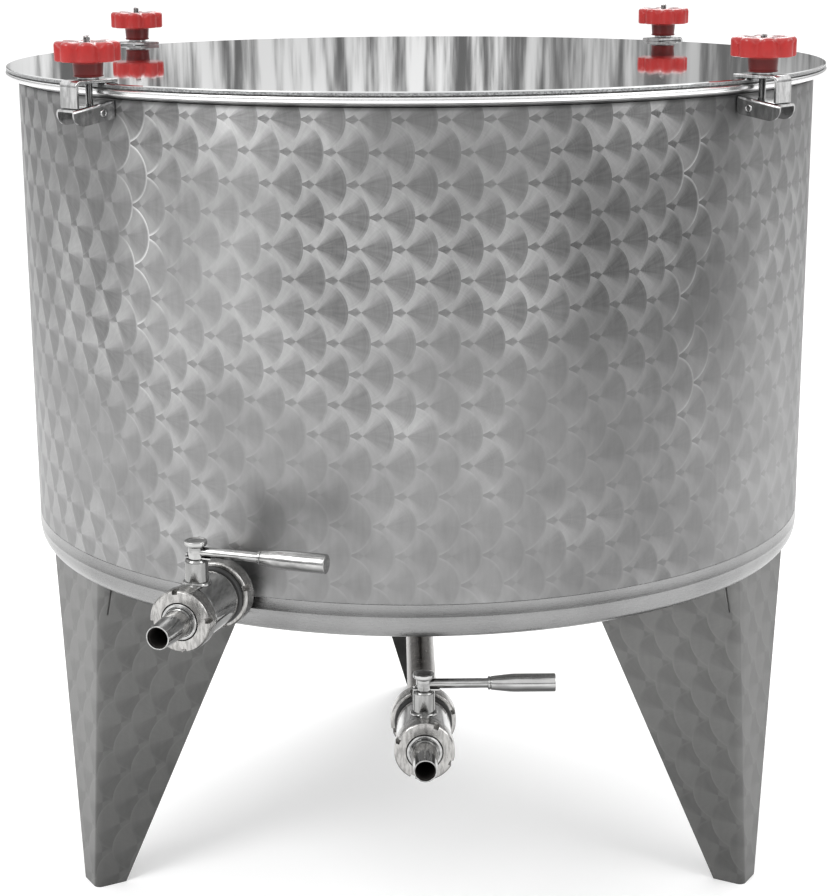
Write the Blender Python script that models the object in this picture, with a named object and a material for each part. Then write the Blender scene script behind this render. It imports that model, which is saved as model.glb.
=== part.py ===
"""Open-top maceration tank: a round stainless shell on three folded sheet legs,
with a clamped flat lid, a side outlet and a total drain, each with a ball valve.

Units are metres, +Z is up, and the floor is at z = 0.  The front faces -Y.
Bearings are degrees from the front, positive towards +X.
"""
import math

import bmesh
import bpy
from mathutils import Matrix, Vector

# Tank shell
TANK_RADIUS = 0.500
WALL = 0.002
SHELL_FOOT_Z = 0.4706
SHELL_TOP_Z = 1.0176
TANK_SEGMENTS = 72
GAP = 0.0003

# Dished bottom: a plain skirt, a rounded knuckle and a cone that falls to the drain
KNUCKLE_RADIUS = 0.0246
KNUCKLE_Z = 0.4508
KNUCKLE_STEPS = 4
CONE_SLOPE = 0.194
DRAIN_HOLE_RADIUS = 0.0160

# Rim, gasket and lid
RIM_RADIUS = 0.5155
RIM_TOP_Z = 1.0300
RIM_BEAD_HEIGHT = 0.0072
RIM_EASE = 0.0018
RIM_INNER_RADIUS = 0.4960
RIM_NECK_RADIUS = 0.5075
RIM_NECK_TAPER = 0.0040
RIM_TOE = 0.0010
GASKET_OUTER_RADIUS = 0.5115
GASKET_TOP_Z = 1.0334
LID_RADIUS = 0.5146
LID_TOP_Z = 1.0357
LID_THICKNESS = 0.0020
LID_LIP_Z = 1.0313
LID_EASE = 0.0010

# Legs: one folded sheet each, a wing along the tank's radius and a wing across it
LEG_SHEET = 0.003
LEG_FOLD_RADIUS = 0.009
LEG_APEX_RADIUS = 0.481
LEG_LEAN = 0.055
INNER_WING_FOOT = 0.041
INNER_WING_SPREAD = 0.457
OUTER_WING_FOOT = 0.0387
OUTER_WING_SPREAD = 0.286
LEG_TOP_GAP = 0.0006
LEG_FOLD_STEPS = 3
LEG_WING_STEPS = 5
LEG_SEARCH_ROUNDS = 12
LEG_BEARINGS = {"front_left": -60.0, "front_right": 60.0, "rear": 177.6}
LEG_HANDS = {"front_left": -1, "front_right": 1, "rear": 1}

# Gusset plates on the inner wings, square to the cone
GUSSET_OUTER_RADIUS = 0.4500
GUSSET_OUTER_Z = 0.3658
GUSSET_LENGTH = 0.150
GUSSET_SHEET = 0.0025

# Lid clamps
CLAMP_BEARINGS = {"front_left": -43.5, "front_right": 47.4, "rear_right": 136.6, "rear_left": 229.8}
CLAMP_WIDTH = 0.029
STUD_OFFSET = 0.0230
STUD_RADIUS = 0.0043
STUD_TOP_Z = 1.0870
BRIDGE_INNER_RADIUS = 0.4940
BRIDGE_OUTER_RADIUS = 0.5520
BRIDGE_THICKNESS = 0.0040
BRIDGE_LEG_THICKNESS = 0.0030
BRIDGE_LEG_CLEARANCE = 0.0015
BRIDGE_EASE = 0.0015
STUD_HOLE_CLEARANCE = 0.0006
CUTTER_OVERSHOOT = 0.010
JAW_INNER_RADIUS = 0.5010
JAW_OUTER_RADIUS = 0.5570
JAW_INNER_TOP_Z = 1.0165
JAW_OUTER_TOP_Z = 1.0087
JAW_HEIGHT = 0.0200
JAW_SHEET = 0.0025
JAW_CORNER = 0.0110
JAW_WIDTH = CLAMP_WIDTH + 0.002
STUD_NUT_RADIUS = 0.0075
STUD_NUT_HEIGHT = 0.0055
STUD_NUT_CLEARANCE = 0.0014
STUD_EASE = 0.0010
THREAD_SEGMENTS = 12
WASHER_RADIUS = 0.0120
WASHER_THICKNESS = 0.0022

# Star knobs
KNOB_LOBES = 8
KNOB_POINTS = 32
KNOB_WHEEL_RADIUS = 0.0364
KNOB_LOBE_DEPTH = 0.0030
KNOB_HUB_RADIUS = 0.0170
KNOB_HUB_HEIGHT = 0.0150
KNOB_WHEEL_HEIGHT = 0.0205
KNOB_BORE_CLEARANCE = 0.0004
KNOB_HUB_DRAFT = 0.0008
KNOB_LOWER_EASE = 0.0020
KNOB_UPPER_EASE = 0.0030
KNOB_CROWN_INSET = 0.0050
KNOB_CROWN_LOBES = 0.6

# Valves, measured back from the front nut's face along the valve's own axis
SIDE_FACE_BEARING = -24.05
SIDE_AXIS_BEARING = -18.57
SIDE_FACE_RADIUS = 0.6311
SIDE_Z = 0.4784
DRAIN_BEARING = 0.73
DRAIN_FACE_RADIUS = 0.4857
DRAIN_Z = 0.2888
NUT_LENGTH = 0.021
FRONT_NUT_RADIUS = 0.0348
FRONT_NUT_BORE = 0.0210
FRONT_SLOT_TURN = 24.0
REAR_NUT_RADIUS = 0.0388
REAR_NUT_BACK = 0.1155
REAR_SLOT_TURN = -18.0
REAR_NUT_BORE = 0.0245
NUT_CHAMFER = 0.0015
NUT_SLOT_WIDTH = 0.0065
NUT_SLOT_DEPTH = 0.0042
NUT_SLOT_LENGTH = 0.012
NUT_SLOTS = 4
BODY_RADIUS = 0.032
SEAL_RADIUS = 0.0340
SEAL_LENGTH = 0.006
STEM_BACK = 0.0484
TAIL_REACH = 0.0543
TAIL_TIP_RADIUS = 0.0132
TAIL_ROOT_RADIUS = 0.0165
TAIL_COLLAR_RADIUS = 0.0203
TAIL_WALL = 0.0015
TAIL_SHOULDER = 0.0005
TAIL_ROOT = 0.0040
ROUND_SEGMENTS = 24

# Stems and handles, heights above the valve's own axis
STEM_HOUSING_RADIUS = 0.0128
STEM_HOUSING_TOP = 0.0575
STEM_SHOULDER = 0.0025
STEM_SEAT_DEPTH = 0.0040
STEM_SEGMENTS = 20
HANDLE_SEGMENTS = 16
HANDLE_EASE = 0.0010
ROD_SEGMENTS = 12
ROD_IN_GRIP = 0.020
NECK_RADIUS = 0.0080
CAP_RADIUS = 0.0124
CAP_BOTTOM = 0.0728
CAP_TOP = 0.0771
ROD_HEIGHT = 0.0652
ROD_RADIUS = 0.0052
GRIP_START = 0.0740
GRIP_CONE = 0.0280
GRIP_END = 0.1520
GRIP_NECK_RADIUS = 0.0073
GRIP_RADIUS = 0.0107

# Outlet stub and drain pipe
STUB_RADIUS = 0.0205
STUB_SUNK = 0.010
PIPE_MEET_BACK = 0.1035
DRAIN_PIPE_RADIUS = 0.0178
DRAIN_PIPE_WALL = 0.0016
DRAIN_BEND_RADIUS = 0.045
DRAIN_BEND_STEPS = 7

KNUCKLE_INNER_EDGE = TANK_RADIUS - KNUCKLE_RADIUS
CONE_TOP_Z = KNUCKLE_Z - KNUCKLE_RADIUS
SIDE_TURN = math.radians(SIDE_AXIS_BEARING)
DRAIN_TURN = math.radians(DRAIN_BEARING)
FRONT_REACH = (SIDE_FACE_RADIUS * math.cos(math.radians(SIDE_FACE_BEARING))
               + TAIL_REACH * math.cos(SIDE_TURN) + TAIL_TIP_RADIUS * abs(math.sin(SIDE_TURN)))
TANK_Y = (FRONT_REACH - RIM_RADIUS) / 2


def clear_scene():
    for item in list(bpy.data.objects):
        bpy.data.objects.remove(item, do_unlink=True)


def material(name, colour, metallic, roughness):
    """One Principled material per finish, made once."""
    found = bpy.data.materials.get(name)
    if found:
        return found
    made = bpy.data.materials.new(name)
    made.use_nodes = True
    made.diffuse_color = (*colour, 1.0)
    shader = made.node_tree.nodes["Principled BSDF"]
    shader.inputs["Base Color"].default_value = (*colour, 1.0)
    shader.inputs["Metallic"].default_value = metallic
    shader.inputs["Roughness"].default_value = roughness
    return made


def ground_steel():
    return material("ground_steel", (0.45, 0.45, 0.44), 1.0, 0.35)


def plain_steel():
    return material("plain_steel", (0.52, 0.52, 0.51), 1.0, 0.3)


def mirror_steel():
    return material("mirror_steel", (0.60, 0.60, 0.60), 1.0, 0.12)


def red_plastic():
    return material("red_plastic", (0.50, 0.03, 0.03), 0.0, 0.45)


def black_rubber():
    return material("black_rubber", (0.03, 0.03, 0.03), 0.0, 0.7)


def link(name, mesh, finish, parent, smooth=True):
    mesh.materials.append(finish)
    if smooth:
        mesh.shade_smooth()
        mesh.set_sharp_from_angle(angle=math.radians(30))
    made = bpy.data.objects.new(name, mesh)
    bpy.context.scene.collection.objects.link(made)
    made.parent = parent
    return made


def mesh_from(name, shape):
    bmesh.ops.recalc_face_normals(shape, faces=shape.faces)
    mesh = bpy.data.meshes.new(name)
    shape.to_mesh(mesh)
    shape.free()
    return mesh


def empty(name, place, turn=0.0, parent=None):
    made = bpy.data.objects.new(name, None)
    bpy.context.scene.collection.objects.link(made)
    made.location = place
    made.rotation_euler = (0.0, 0.0, turn)
    made.parent = parent
    return made


def turned(name, outline, segments):
    """A closed outline of (radius, height) points turned once round the Z axis."""
    shape = bmesh.new()
    points = [shape.verts.new((radius, 0.0, height)) for radius, height in outline]
    edges = [shape.edges.new((a, b)) for a, b in zip(points, points[1:] + points[:1])
             if not (a.co.x == 0.0 and b.co.x == 0.0)]
    bmesh.ops.spin(shape, geom=points + edges, cent=(0, 0, 0), axis=(0, 0, 1),
                   angle=math.tau, steps=segments, use_merge=True)
    bmesh.ops.remove_doubles(shape, verts=shape.verts, dist=0.00005)
    return mesh_from(name, shape)


def laid_forward(mesh):
    """Turn a shape built along +Z so that it points along -Y."""
    mesh.transform(Matrix.Rotation(math.radians(90), 4, "X"))
    return mesh


def extruded(name, outline, width):
    """An outline of (x, z) points, filled and extruded across Y, centred on Y = 0."""
    shape = bmesh.new()
    points = [shape.verts.new((x, -width / 2, z)) for x, z in outline]
    face = shape.faces.new(points)
    side = bmesh.ops.extrude_face_region(shape, geom=[face])["geom"]
    moved = [item for item in side if isinstance(item, bmesh.types.BMVert)]
    bmesh.ops.translate(shape, verts=moved, vec=(0, width, 0))
    return mesh_from(name, shape)


def arc(centre, radius, start, end, steps):
    """Points of an arc in degrees, both ends included."""
    angles = [math.radians(start + (end - start) * i / steps) for i in range(steps + 1)]
    return [(centre[0] + radius * math.cos(a), centre[1] + radius * math.sin(a)) for a in angles]


def cut(piece, cutter):
    """Cut with an exact Boolean; the cutter stays as a hidden guide."""
    cutter.hide_render = True
    cutter.display_type = "WIRE"
    tool = piece.modifiers.new("cut_" + cutter.name, "BOOLEAN")
    tool.operation = "DIFFERENCE"
    tool.solver = "EXACT"
    tool.object = cutter


def outward(bearing):
    turn = math.radians(bearing)
    return Vector((math.sin(turn), -math.cos(turn), 0.0))


def bottom_height(radius):
    """Height of the tank bottom's underside at a radius."""
    if radius <= KNUCKLE_INNER_EDGE:
        return CONE_TOP_Z - CONE_SLOPE * (KNUCKLE_INNER_EDGE - radius)
    across = min(radius - KNUCKLE_INNER_EDGE, KNUCKLE_RADIUS)
    return KNUCKLE_Z - math.sqrt(KNUCKLE_RADIUS ** 2 - across ** 2)


def make_shell(tank):
    inner = TANK_RADIUS - WALL
    outline = [(TANK_RADIUS, SHELL_TOP_Z), (TANK_RADIUS, SHELL_FOOT_Z),
               (inner, SHELL_FOOT_Z), (inner, SHELL_TOP_Z)]
    link("tank_shell", turned("tank_shell", outline, TANK_SEGMENTS), ground_steel(), tank)


def make_bottom(tank):
    """Skirt, knuckle and cone in one pressing, with the drain hole at its middle."""
    top = SHELL_FOOT_Z - GAP
    centre = (KNUCKLE_INNER_EDGE, KNUCKLE_Z)
    outside = [(TANK_RADIUS, top)] + arc(centre, KNUCKLE_RADIUS, 0, -90, KNUCKLE_STEPS)
    outside.append((DRAIN_HOLE_RADIUS, bottom_height(DRAIN_HOLE_RADIUS)))
    inside = [(DRAIN_HOLE_RADIUS, bottom_height(DRAIN_HOLE_RADIUS) + WALL)]
    inside += arc(centre, KNUCKLE_RADIUS - WALL, -90, 0, KNUCKLE_STEPS)
    inside.append((TANK_RADIUS - WALL, top))
    mesh = turned("tank_bottom", outside + inside, TANK_SEGMENTS)
    link("tank_bottom", mesh, plain_steel(), tank)


def make_rim(tank):
    """Rolled edge: a bead at the top that curls back under to the wall."""
    foot = SHELL_TOP_Z + GAP
    bead_foot = RIM_TOP_Z - RIM_BEAD_HEIGHT
    outline = [(RIM_INNER_RADIUS, RIM_TOP_Z), (RIM_RADIUS - RIM_EASE, RIM_TOP_Z),
               (RIM_RADIUS, RIM_TOP_Z - RIM_EASE), (RIM_RADIUS, bead_foot + RIM_EASE),
               (RIM_RADIUS - RIM_EASE, bead_foot), (RIM_NECK_RADIUS, bead_foot),
               (RIM_NECK_RADIUS - RIM_NECK_TAPER, foot + RIM_TOE), (TANK_RADIUS + RIM_TOE, foot),
               (RIM_INNER_RADIUS, foot)]
    link("shell_rim", turned("shell_rim", outline, TANK_SEGMENTS), plain_steel(), tank)


def make_gasket(tank):
    inner = RIM_INNER_RADIUS
    low, high = RIM_TOP_Z + GAP, GASKET_TOP_Z
    outline = [(inner, high), (GASKET_OUTER_RADIUS, high), (GASKET_OUTER_RADIUS, low), (inner, low)]
    link("lid_gasket", turned("lid_gasket", outline, TANK_SEGMENTS), black_rubber(), tank)


def make_lid(tank):
    """Flat disc with a short turned-down lip round its edge."""
    under = LID_TOP_Z - LID_THICKNESS
    lip_inner = LID_RADIUS - LID_THICKNESS
    outline = [(0.0, LID_TOP_Z), (LID_RADIUS - LID_EASE, LID_TOP_Z), (LID_RADIUS, LID_TOP_Z - LID_EASE),
               (LID_RADIUS, LID_LIP_Z), (lip_inner, LID_LIP_Z), (lip_inner, under), (0.0, under)]
    link("lid", turned("lid", outline, TANK_SEGMENTS), mirror_steel(), tank)


def leg_outline(height):
    """Outer and inner faces of the folded sheet at a height, as (inward, across) points."""
    inner_width = INNER_WING_FOOT + INNER_WING_SPREAD * height
    outer_width = OUTER_WING_FOOT + OUTER_WING_SPREAD * height
    fold = LEG_FOLD_RADIUS
    across = [fold + (outer_width - fold) * i / LEG_WING_STEPS for i in range(1, LEG_WING_STEPS + 1)]
    outside = [(inner_width, 0.0)] + arc((fold, fold), fold, 270, 180, LEG_FOLD_STEPS)
    outside += [(0.0, v) for v in across]
    inside = [(LEG_SHEET, v) for v in reversed(across)]
    inside += arc((fold, fold), fold - LEG_SHEET, 180, 270, LEG_FOLD_STEPS) + [(inner_width, LEG_SHEET)]
    return outside + inside


def leg_point(index, height, hand):
    inward, across = leg_outline(height)[index]
    return Vector((LEG_APEX_RADIUS - LEG_LEAN * height - inward, across * hand, height))


def leg_top(index, hand):
    """The point of one outline line that lies just under the tank bottom."""
    height = CONE_TOP_Z
    for _ in range(LEG_SEARCH_ROUNDS):
        place = leg_point(index, height, hand)
        height = bottom_height(math.hypot(place.x, place.y)) - LEG_TOP_GAP
    return leg_point(index, height, hand)


def make_leg(side, tank):
    """Folded sheet between its outline on the floor and its outline under the tank."""
    hand = LEG_HANDS[side]
    count = len(leg_outline(0.0))
    shape = bmesh.new()
    low = [shape.verts.new(leg_point(i, 0.0, hand)) for i in range(count)]
    high = [shape.verts.new(leg_top(i, hand)) for i in range(count)]
    half = count // 2
    for i in range(count):
        j = (i + 1) % count
        shape.faces.new((low[i], low[j], high[j], high[i]))
    for ring in (low, high):
        for i in range(half - 1):
            shape.faces.new((ring[i], ring[i + 1], ring[count - 2 - i], ring[count - 1 - i]))
    leg = link("leg_" + side, mesh_from("leg_" + side, shape), ground_steel(), tank)
    leg.rotation_euler.z = math.radians(LEG_BEARINGS[side] - 90.0)


def make_gusset(side, tank):
    """Rectangular plate on the inner wing, with its long edges along the cone."""
    slope = math.atan(CONE_SLOPE)
    along = Vector((-math.cos(slope), 0.0, -math.sin(slope)))
    up = Vector((-math.sin(slope), 0.0, math.cos(slope)))
    corner = Vector((GUSSET_OUTER_RADIUS, 0.0, GUSSET_OUTER_Z))
    rise = (bottom_height(GUSSET_OUTER_RADIUS) - GUSSET_OUTER_Z) * math.cos(slope) - LEG_TOP_GAP
    corners = [corner, corner + along * GUSSET_LENGTH,
               corner + along * GUSSET_LENGTH + up * rise, corner + up * rise]
    mesh = extruded("leg_gusset_" + side, [(p.x, p.z) for p in corners], GUSSET_SHEET)
    offset = -LEG_HANDS[side] * (GUSSET_SHEET / 2 + GAP)
    mesh.transform(Matrix.Translation((0.0, offset, 0.0)))
    plate = link("leg_gusset_" + side, mesh, plain_steel(), tank, smooth=False)
    plate.rotation_euler.z = math.radians(LEG_BEARINGS[side] - 90.0)


def stud_hole(name, parent, low, high):
    """Round cutter for the stud, a little larger than the stud."""
    radius = STUD_RADIUS + STUD_HOLE_CLEARANCE
    top, bottom = high + CUTTER_OVERSHOOT, low - CUTTER_OVERSHOOT
    outline = [(0.0, top), (radius, top), (radius, bottom), (0.0, bottom)]
    hole = link(name, turned(name, outline, THREAD_SEGMENTS), plain_steel(), parent)
    hole.location.x = TANK_RADIUS + STUD_OFFSET
    return hole


def make_bridge(side, mount):
    """Strap across the lid's edge that turns down at its outer end."""
    low, high = LID_TOP_Z + GAP, LID_TOP_Z + GAP + BRIDGE_THICKNESS
    foot = JAW_OUTER_TOP_Z + BRIDGE_LEG_CLEARANCE
    inner_face = BRIDGE_OUTER_RADIUS - BRIDGE_LEG_THICKNESS
    outline = [(BRIDGE_INNER_RADIUS, low), (inner_face, low), (inner_face, foot),
               (BRIDGE_OUTER_RADIUS, foot), (BRIDGE_OUTER_RADIUS, high - BRIDGE_EASE),
               (BRIDGE_OUTER_RADIUS - BRIDGE_EASE, high), (BRIDGE_INNER_RADIUS + BRIDGE_EASE, high),
               (BRIDGE_INNER_RADIUS, high - BRIDGE_EASE)]
    name = "clamp_bridge_" + side
    bridge = link(name, extruded(name, outline, CLAMP_WIDTH), plain_steel(), mount, smooth=False)
    cut(bridge, stud_hole("bridge_hole_" + side, mount, low, high))


def make_jaw(side, mount):
    """Channel open below and outwards; its inner end grips under the rim."""
    fall = (JAW_INNER_TOP_Z - JAW_OUTER_TOP_Z) / (JAW_OUTER_RADIUS - JAW_INNER_RADIUS)
    inner, outer = JAW_INNER_RADIUS, JAW_OUTER_RADIUS
    top_in, top_out = JAW_INNER_TOP_Z, JAW_OUTER_TOP_Z
    corner = (outer - JAW_CORNER, top_out - JAW_HEIGHT + JAW_CORNER)
    outline = [(inner, top_in), (outer, top_out)] + arc(corner, JAW_CORNER, 0, -90, 4)
    outline.append((inner, top_in - JAW_HEIGHT))
    name = "clamp_jaw_" + side
    jaw = link(name, extruded(name, outline, JAW_WIDTH), plain_steel(), mount, smooth=False)
    past = CUTTER_OVERSHOOT
    web_in = top_in + fall * past - JAW_SHEET
    web_out = top_out - fall * past - JAW_SHEET
    floor = top_out - JAW_HEIGHT - past
    under = [(inner - past, web_in), (outer + past, web_out), (outer + past, floor), (inner - past, floor)]
    hollow = "jaw_hollow_" + side
    mesh = extruded(hollow, under, JAW_WIDTH - 2 * JAW_SHEET)
    cut(jaw, link(hollow, mesh, plain_steel(), mount, smooth=False))
    cut(jaw, stud_hole("jaw_hole_" + side, mount, JAW_OUTER_TOP_Z, JAW_INNER_TOP_Z))


def make_stud(side, mount):
    """Threaded stud held in the jaw, with a nut below it and a washer on the strap."""
    seat = LID_TOP_Z + 2 * GAP + BRIDGE_THICKNESS
    inward = (JAW_OUTER_RADIUS - TANK_RADIUS - STUD_OFFSET) / (JAW_OUTER_RADIUS - JAW_INNER_RADIUS)
    web = JAW_OUTER_TOP_Z + (JAW_INNER_TOP_Z - JAW_OUTER_TOP_Z) * inward
    nut_top = web - JAW_SHEET - STUD_NUT_CLEARANCE
    nut_foot = nut_top - STUD_NUT_HEIGHT
    outline = [(0.0, STUD_TOP_Z), (STUD_RADIUS - STUD_EASE, STUD_TOP_Z),
               (STUD_RADIUS, STUD_TOP_Z - STUD_EASE), (STUD_RADIUS, seat + WASHER_THICKNESS),
               (WASHER_RADIUS, seat + WASHER_THICKNESS), (WASHER_RADIUS, seat), (STUD_RADIUS, seat),
               (STUD_RADIUS, nut_top), (STUD_NUT_RADIUS, nut_top), (STUD_NUT_RADIUS, nut_foot),
               (0.0, nut_foot)]
    name = "clamp_stud_" + side
    stud = link(name, turned(name, outline, THREAD_SEGMENTS), plain_steel(), mount)
    stud.location.x = TANK_RADIUS + STUD_OFFSET


def make_knob(side, mount):
    """Lobed wheel on a round hub, as rings of equal point counts joined into one skin."""
    base = LID_TOP_Z + 3 * GAP + BRIDGE_THICKNESS + WASHER_THICKNESS
    shoulder = base + KNOB_HUB_HEIGHT
    crown = shoulder + KNOB_WHEEL_HEIGHT
    bore = STUD_RADIUS + KNOB_BORE_CLEARANCE
    wheel = KNOB_WHEEL_RADIUS
    rings = [(bore, 0.0, base), (KNOB_HUB_RADIUS - KNOB_HUB_DRAFT, 0.0, base),
             (KNOB_HUB_RADIUS, 0.0, shoulder), (wheel - KNOB_LOWER_EASE, 1.0, shoulder),
             (wheel, 1.0, shoulder + KNOB_LOWER_EASE), (wheel, 1.0, crown - KNOB_UPPER_EASE),
             (wheel - KNOB_CROWN_INSET, KNOB_CROWN_LOBES, crown), (bore, 0.0, crown)]
    shape = bmesh.new()
    made = []
    for radius, lobed, height in rings:
        ring = []
        for i in range(KNOB_POINTS):
            turn = math.tau * i / KNOB_POINTS
            dip = lobed * KNOB_LOBE_DEPTH * (1 - abs(math.cos(KNOB_LOBES * turn / 2)))
            reach = radius - dip
            ring.append(shape.verts.new((reach * math.cos(turn), reach * math.sin(turn), height)))
        made.append(ring)
    for lower, upper in zip(made, made[1:] + made[:1]):
        for i in range(KNOB_POINTS):
            j = (i + 1) % KNOB_POINTS
            shape.faces.new((lower[i], lower[j], upper[j], upper[i]))
    knob = link("clamp_knob_" + side, mesh_from("clamp_knob_" + side, shape), red_plastic(), mount)
    knob.location.x = TANK_RADIUS + STUD_OFFSET


def make_clamp(side, tank):
    mount = empty("clamp_mount_" + side, (0, 0, 0), math.radians(CLAMP_BEARINGS[side] - 90.0), tank)
    make_bridge(side, mount)
    make_jaw(side, mount)
    make_stud(side, mount)
    make_knob(side, mount)


def slotted_nut(name, radius, bore, back, slot_turn, valve):
    """Ring nut with four spanner slots; its rear face lies back behind the front nut's face."""
    front = -back + NUT_LENGTH
    rim = radius - NUT_CHAMFER
    outline = [(bore, front), (rim, front), (radius, front - NUT_CHAMFER), (radius, -back + NUT_CHAMFER),
               (rim, -back), (bore, -back)]
    nut = link(name, laid_forward(turned(name, outline, ROUND_SEGMENTS)), mirror_steel(), valve)
    for i in range(NUT_SLOTS):
        size = (2 * NUT_SLOT_DEPTH, NUT_SLOT_LENGTH, NUT_SLOT_WIDTH)
        shape = bmesh.new()
        bmesh.ops.create_cube(shape, size=1.0)
        slot = mesh_from(name + "_slot", shape)
        slot.transform(Matrix.Diagonal((*size, 1.0)))
        slot.transform(Matrix.Translation((radius, -front + NUT_SLOT_LENGTH / 2 - NUT_CHAMFER, 0.0)))
        slot.transform(Matrix.Rotation(math.radians(slot_turn) + math.tau * i / NUT_SLOTS, 4, "Y"))
        cut(nut, link(f"{name}_slot_{i}", slot, mirror_steel(), valve, smooth=False))


def valve_solid(name, outline, valve, finish):
    return link(name, laid_forward(turned(name, outline, ROUND_SEGMENTS)), finish, valve)


def make_valve(prefix, valve):
    """Ball valve between two slotted nuts, built along -Y with its stem along +Z."""
    rear_front = -REAR_NUT_BACK + NUT_LENGTH
    seal_back = rear_front + GAP
    body_back = seal_back + SEAL_LENGTH + GAP
    body_front = -NUT_LENGTH - GAP
    slotted_nut(prefix + "_front_nut", FRONT_NUT_RADIUS, FRONT_NUT_BORE, NUT_LENGTH,
                FRONT_SLOT_TURN, valve)
    slotted_nut(prefix + "_rear_nut", REAR_NUT_RADIUS, REAR_NUT_BORE, REAR_NUT_BACK,
                REAR_SLOT_TURN, valve)

    seal = [(REAR_NUT_BORE, seal_back + SEAL_LENGTH), (SEAL_RADIUS, seal_back + SEAL_LENGTH),
            (SEAL_RADIUS, seal_back), (REAR_NUT_BORE, seal_back)]
    valve_solid(prefix + "_seal_ring", seal, valve, black_rubber())

    spigot_back = -PIPE_MEET_BACK + GAP
    body = [(0.0, body_front), (BODY_RADIUS, body_front), (BODY_RADIUS, body_back),
            (REAR_NUT_BORE - GAP, body_back), (REAR_NUT_BORE - GAP, spigot_back), (0.0, spigot_back)]
    piece = valve_solid(prefix + "_valve_body", body, valve, mirror_steel())
    seat = BODY_RADIUS - STEM_SEAT_DEPTH
    pocket_top = BODY_RADIUS + CUTTER_OVERSHOOT
    pocket_radius = STEM_HOUSING_RADIUS + GAP
    floor = seat - GAP
    hollow = [(0.0, pocket_top), (pocket_radius, pocket_top), (pocket_radius, floor), (0.0, floor)]
    name = prefix + "_stem_pocket"
    pocket = link(name, turned(name, hollow, STEM_SEGMENTS), mirror_steel(), valve)
    pocket.location.y = STEM_BACK
    cut(piece, pocket)

    inner_root = TAIL_ROOT_RADIUS - TAIL_WALL
    tail_back = -NUT_LENGTH + GAP
    tail = [(TAIL_TIP_RADIUS, TAIL_REACH), (TAIL_ROOT_RADIUS, TAIL_ROOT),
            (TAIL_COLLAR_RADIUS, TAIL_SHOULDER), (TAIL_COLLAR_RADIUS, tail_back),
            (inner_root, tail_back), (TAIL_TIP_RADIUS - TAIL_WALL, TAIL_REACH)]
    valve_solid(prefix + "_hose_tail", tail, valve, mirror_steel())

    top = STEM_HOUSING_TOP
    housing = [(0.0, top), (STEM_HOUSING_RADIUS - STEM_SHOULDER, top),
               (STEM_HOUSING_RADIUS, top - STEM_SHOULDER), (STEM_HOUSING_RADIUS, seat), (0.0, seat)]
    name = prefix + "_stem_housing"
    stem = link(name, turned(name, housing, STEM_SEGMENTS), mirror_steel(), valve)
    stem.location.y = STEM_BACK
    make_handle(prefix, valve)


def laid_sideways(mesh):
    """Turn a shape built along +Z so that it points along +X, at the rod's height."""
    mesh.transform(Matrix.Rotation(math.radians(90), 4, "Y"))
    mesh.transform(Matrix.Translation((0, 0, ROD_HEIGHT)))
    return mesh


def make_handle(prefix, valve):
    """Neck, cap and rod turn together on the stem; a tapered grip slides over the rod."""
    pivot = empty(prefix + "_handle_pivot", (0.0, STEM_BACK, 0.0), 0.0, valve)
    foot = STEM_HOUSING_TOP + GAP
    ease = HANDLE_EASE
    spindle = [(0.0, CAP_TOP), (CAP_RADIUS - ease, CAP_TOP), (CAP_RADIUS, CAP_TOP - ease),
               (CAP_RADIUS, CAP_BOTTOM + ease), (NECK_RADIUS, CAP_BOTTOM),
               (NECK_RADIUS, foot), (0.0, foot)]
    name = prefix + "_handle"
    handle = link(name, turned(name, spindle, HANDLE_SEGMENTS), mirror_steel(), pivot)
    rod_end = GRIP_START + ROD_IN_GRIP
    rod = [(0.0, rod_end), (ROD_RADIUS, rod_end), (ROD_RADIUS, 0.0), (0.0, 0.0)]
    name = prefix + "_rod_shape"
    bar = link(name, laid_sideways(turned(name, rod, ROD_SEGMENTS)), mirror_steel(), pivot)
    bar.hide_render = True
    bar.display_type = "WIRE"
    union = handle.modifiers.new("rod", "BOOLEAN")
    union.operation = "UNION"
    union.solver = "EXACT"
    union.object = bar

    bore = ROD_RADIUS + GAP
    cone_end = GRIP_START + GRIP_CONE
    grip = [(bore, GRIP_START), (GRIP_NECK_RADIUS, GRIP_START), (GRIP_RADIUS, cone_end),
            (GRIP_RADIUS, GRIP_END - ease), (GRIP_RADIUS - ease, GRIP_END), (0.0, GRIP_END),
            (0.0, rod_end + GAP), (bore, rod_end + GAP)]
    name = prefix + "_grip"
    link(name, laid_sideways(turned(name, grip, HANDLE_SEGMENTS)), mirror_steel(), pivot)


def make_side_outlet(tank):
    """Stub from the shell to the rear nut, with its valve turned a little towards the front."""
    place = outward(SIDE_FACE_BEARING) * SIDE_FACE_RADIUS
    place.z = SIDE_Z
    valve = empty("side_valve_axis", place, SIDE_TURN, tank)
    make_valve("side", valve)
    sunk = -(SIDE_FACE_RADIUS - TANK_RADIUS) - STUB_SUNK
    inside = STUB_RADIUS - TAIL_WALL
    outline = [(STUB_RADIUS, -PIPE_MEET_BACK), (STUB_RADIUS, sunk), (inside, sunk),
               (inside, -PIPE_MEET_BACK)]
    stub = valve_solid("side_outlet_stub", outline, valve, mirror_steel())
    reach = 2 * STUB_RADIUS
    drum = [(0.0, SIDE_Z + reach), (TANK_RADIUS + GAP, SIDE_Z + reach),
            (TANK_RADIUS + GAP, SIDE_Z - reach), (0.0, SIDE_Z - reach)]
    cut(stub, link("stub_saddle", turned("stub_saddle", drum, TANK_SEGMENTS), plain_steel(), tank))


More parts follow.
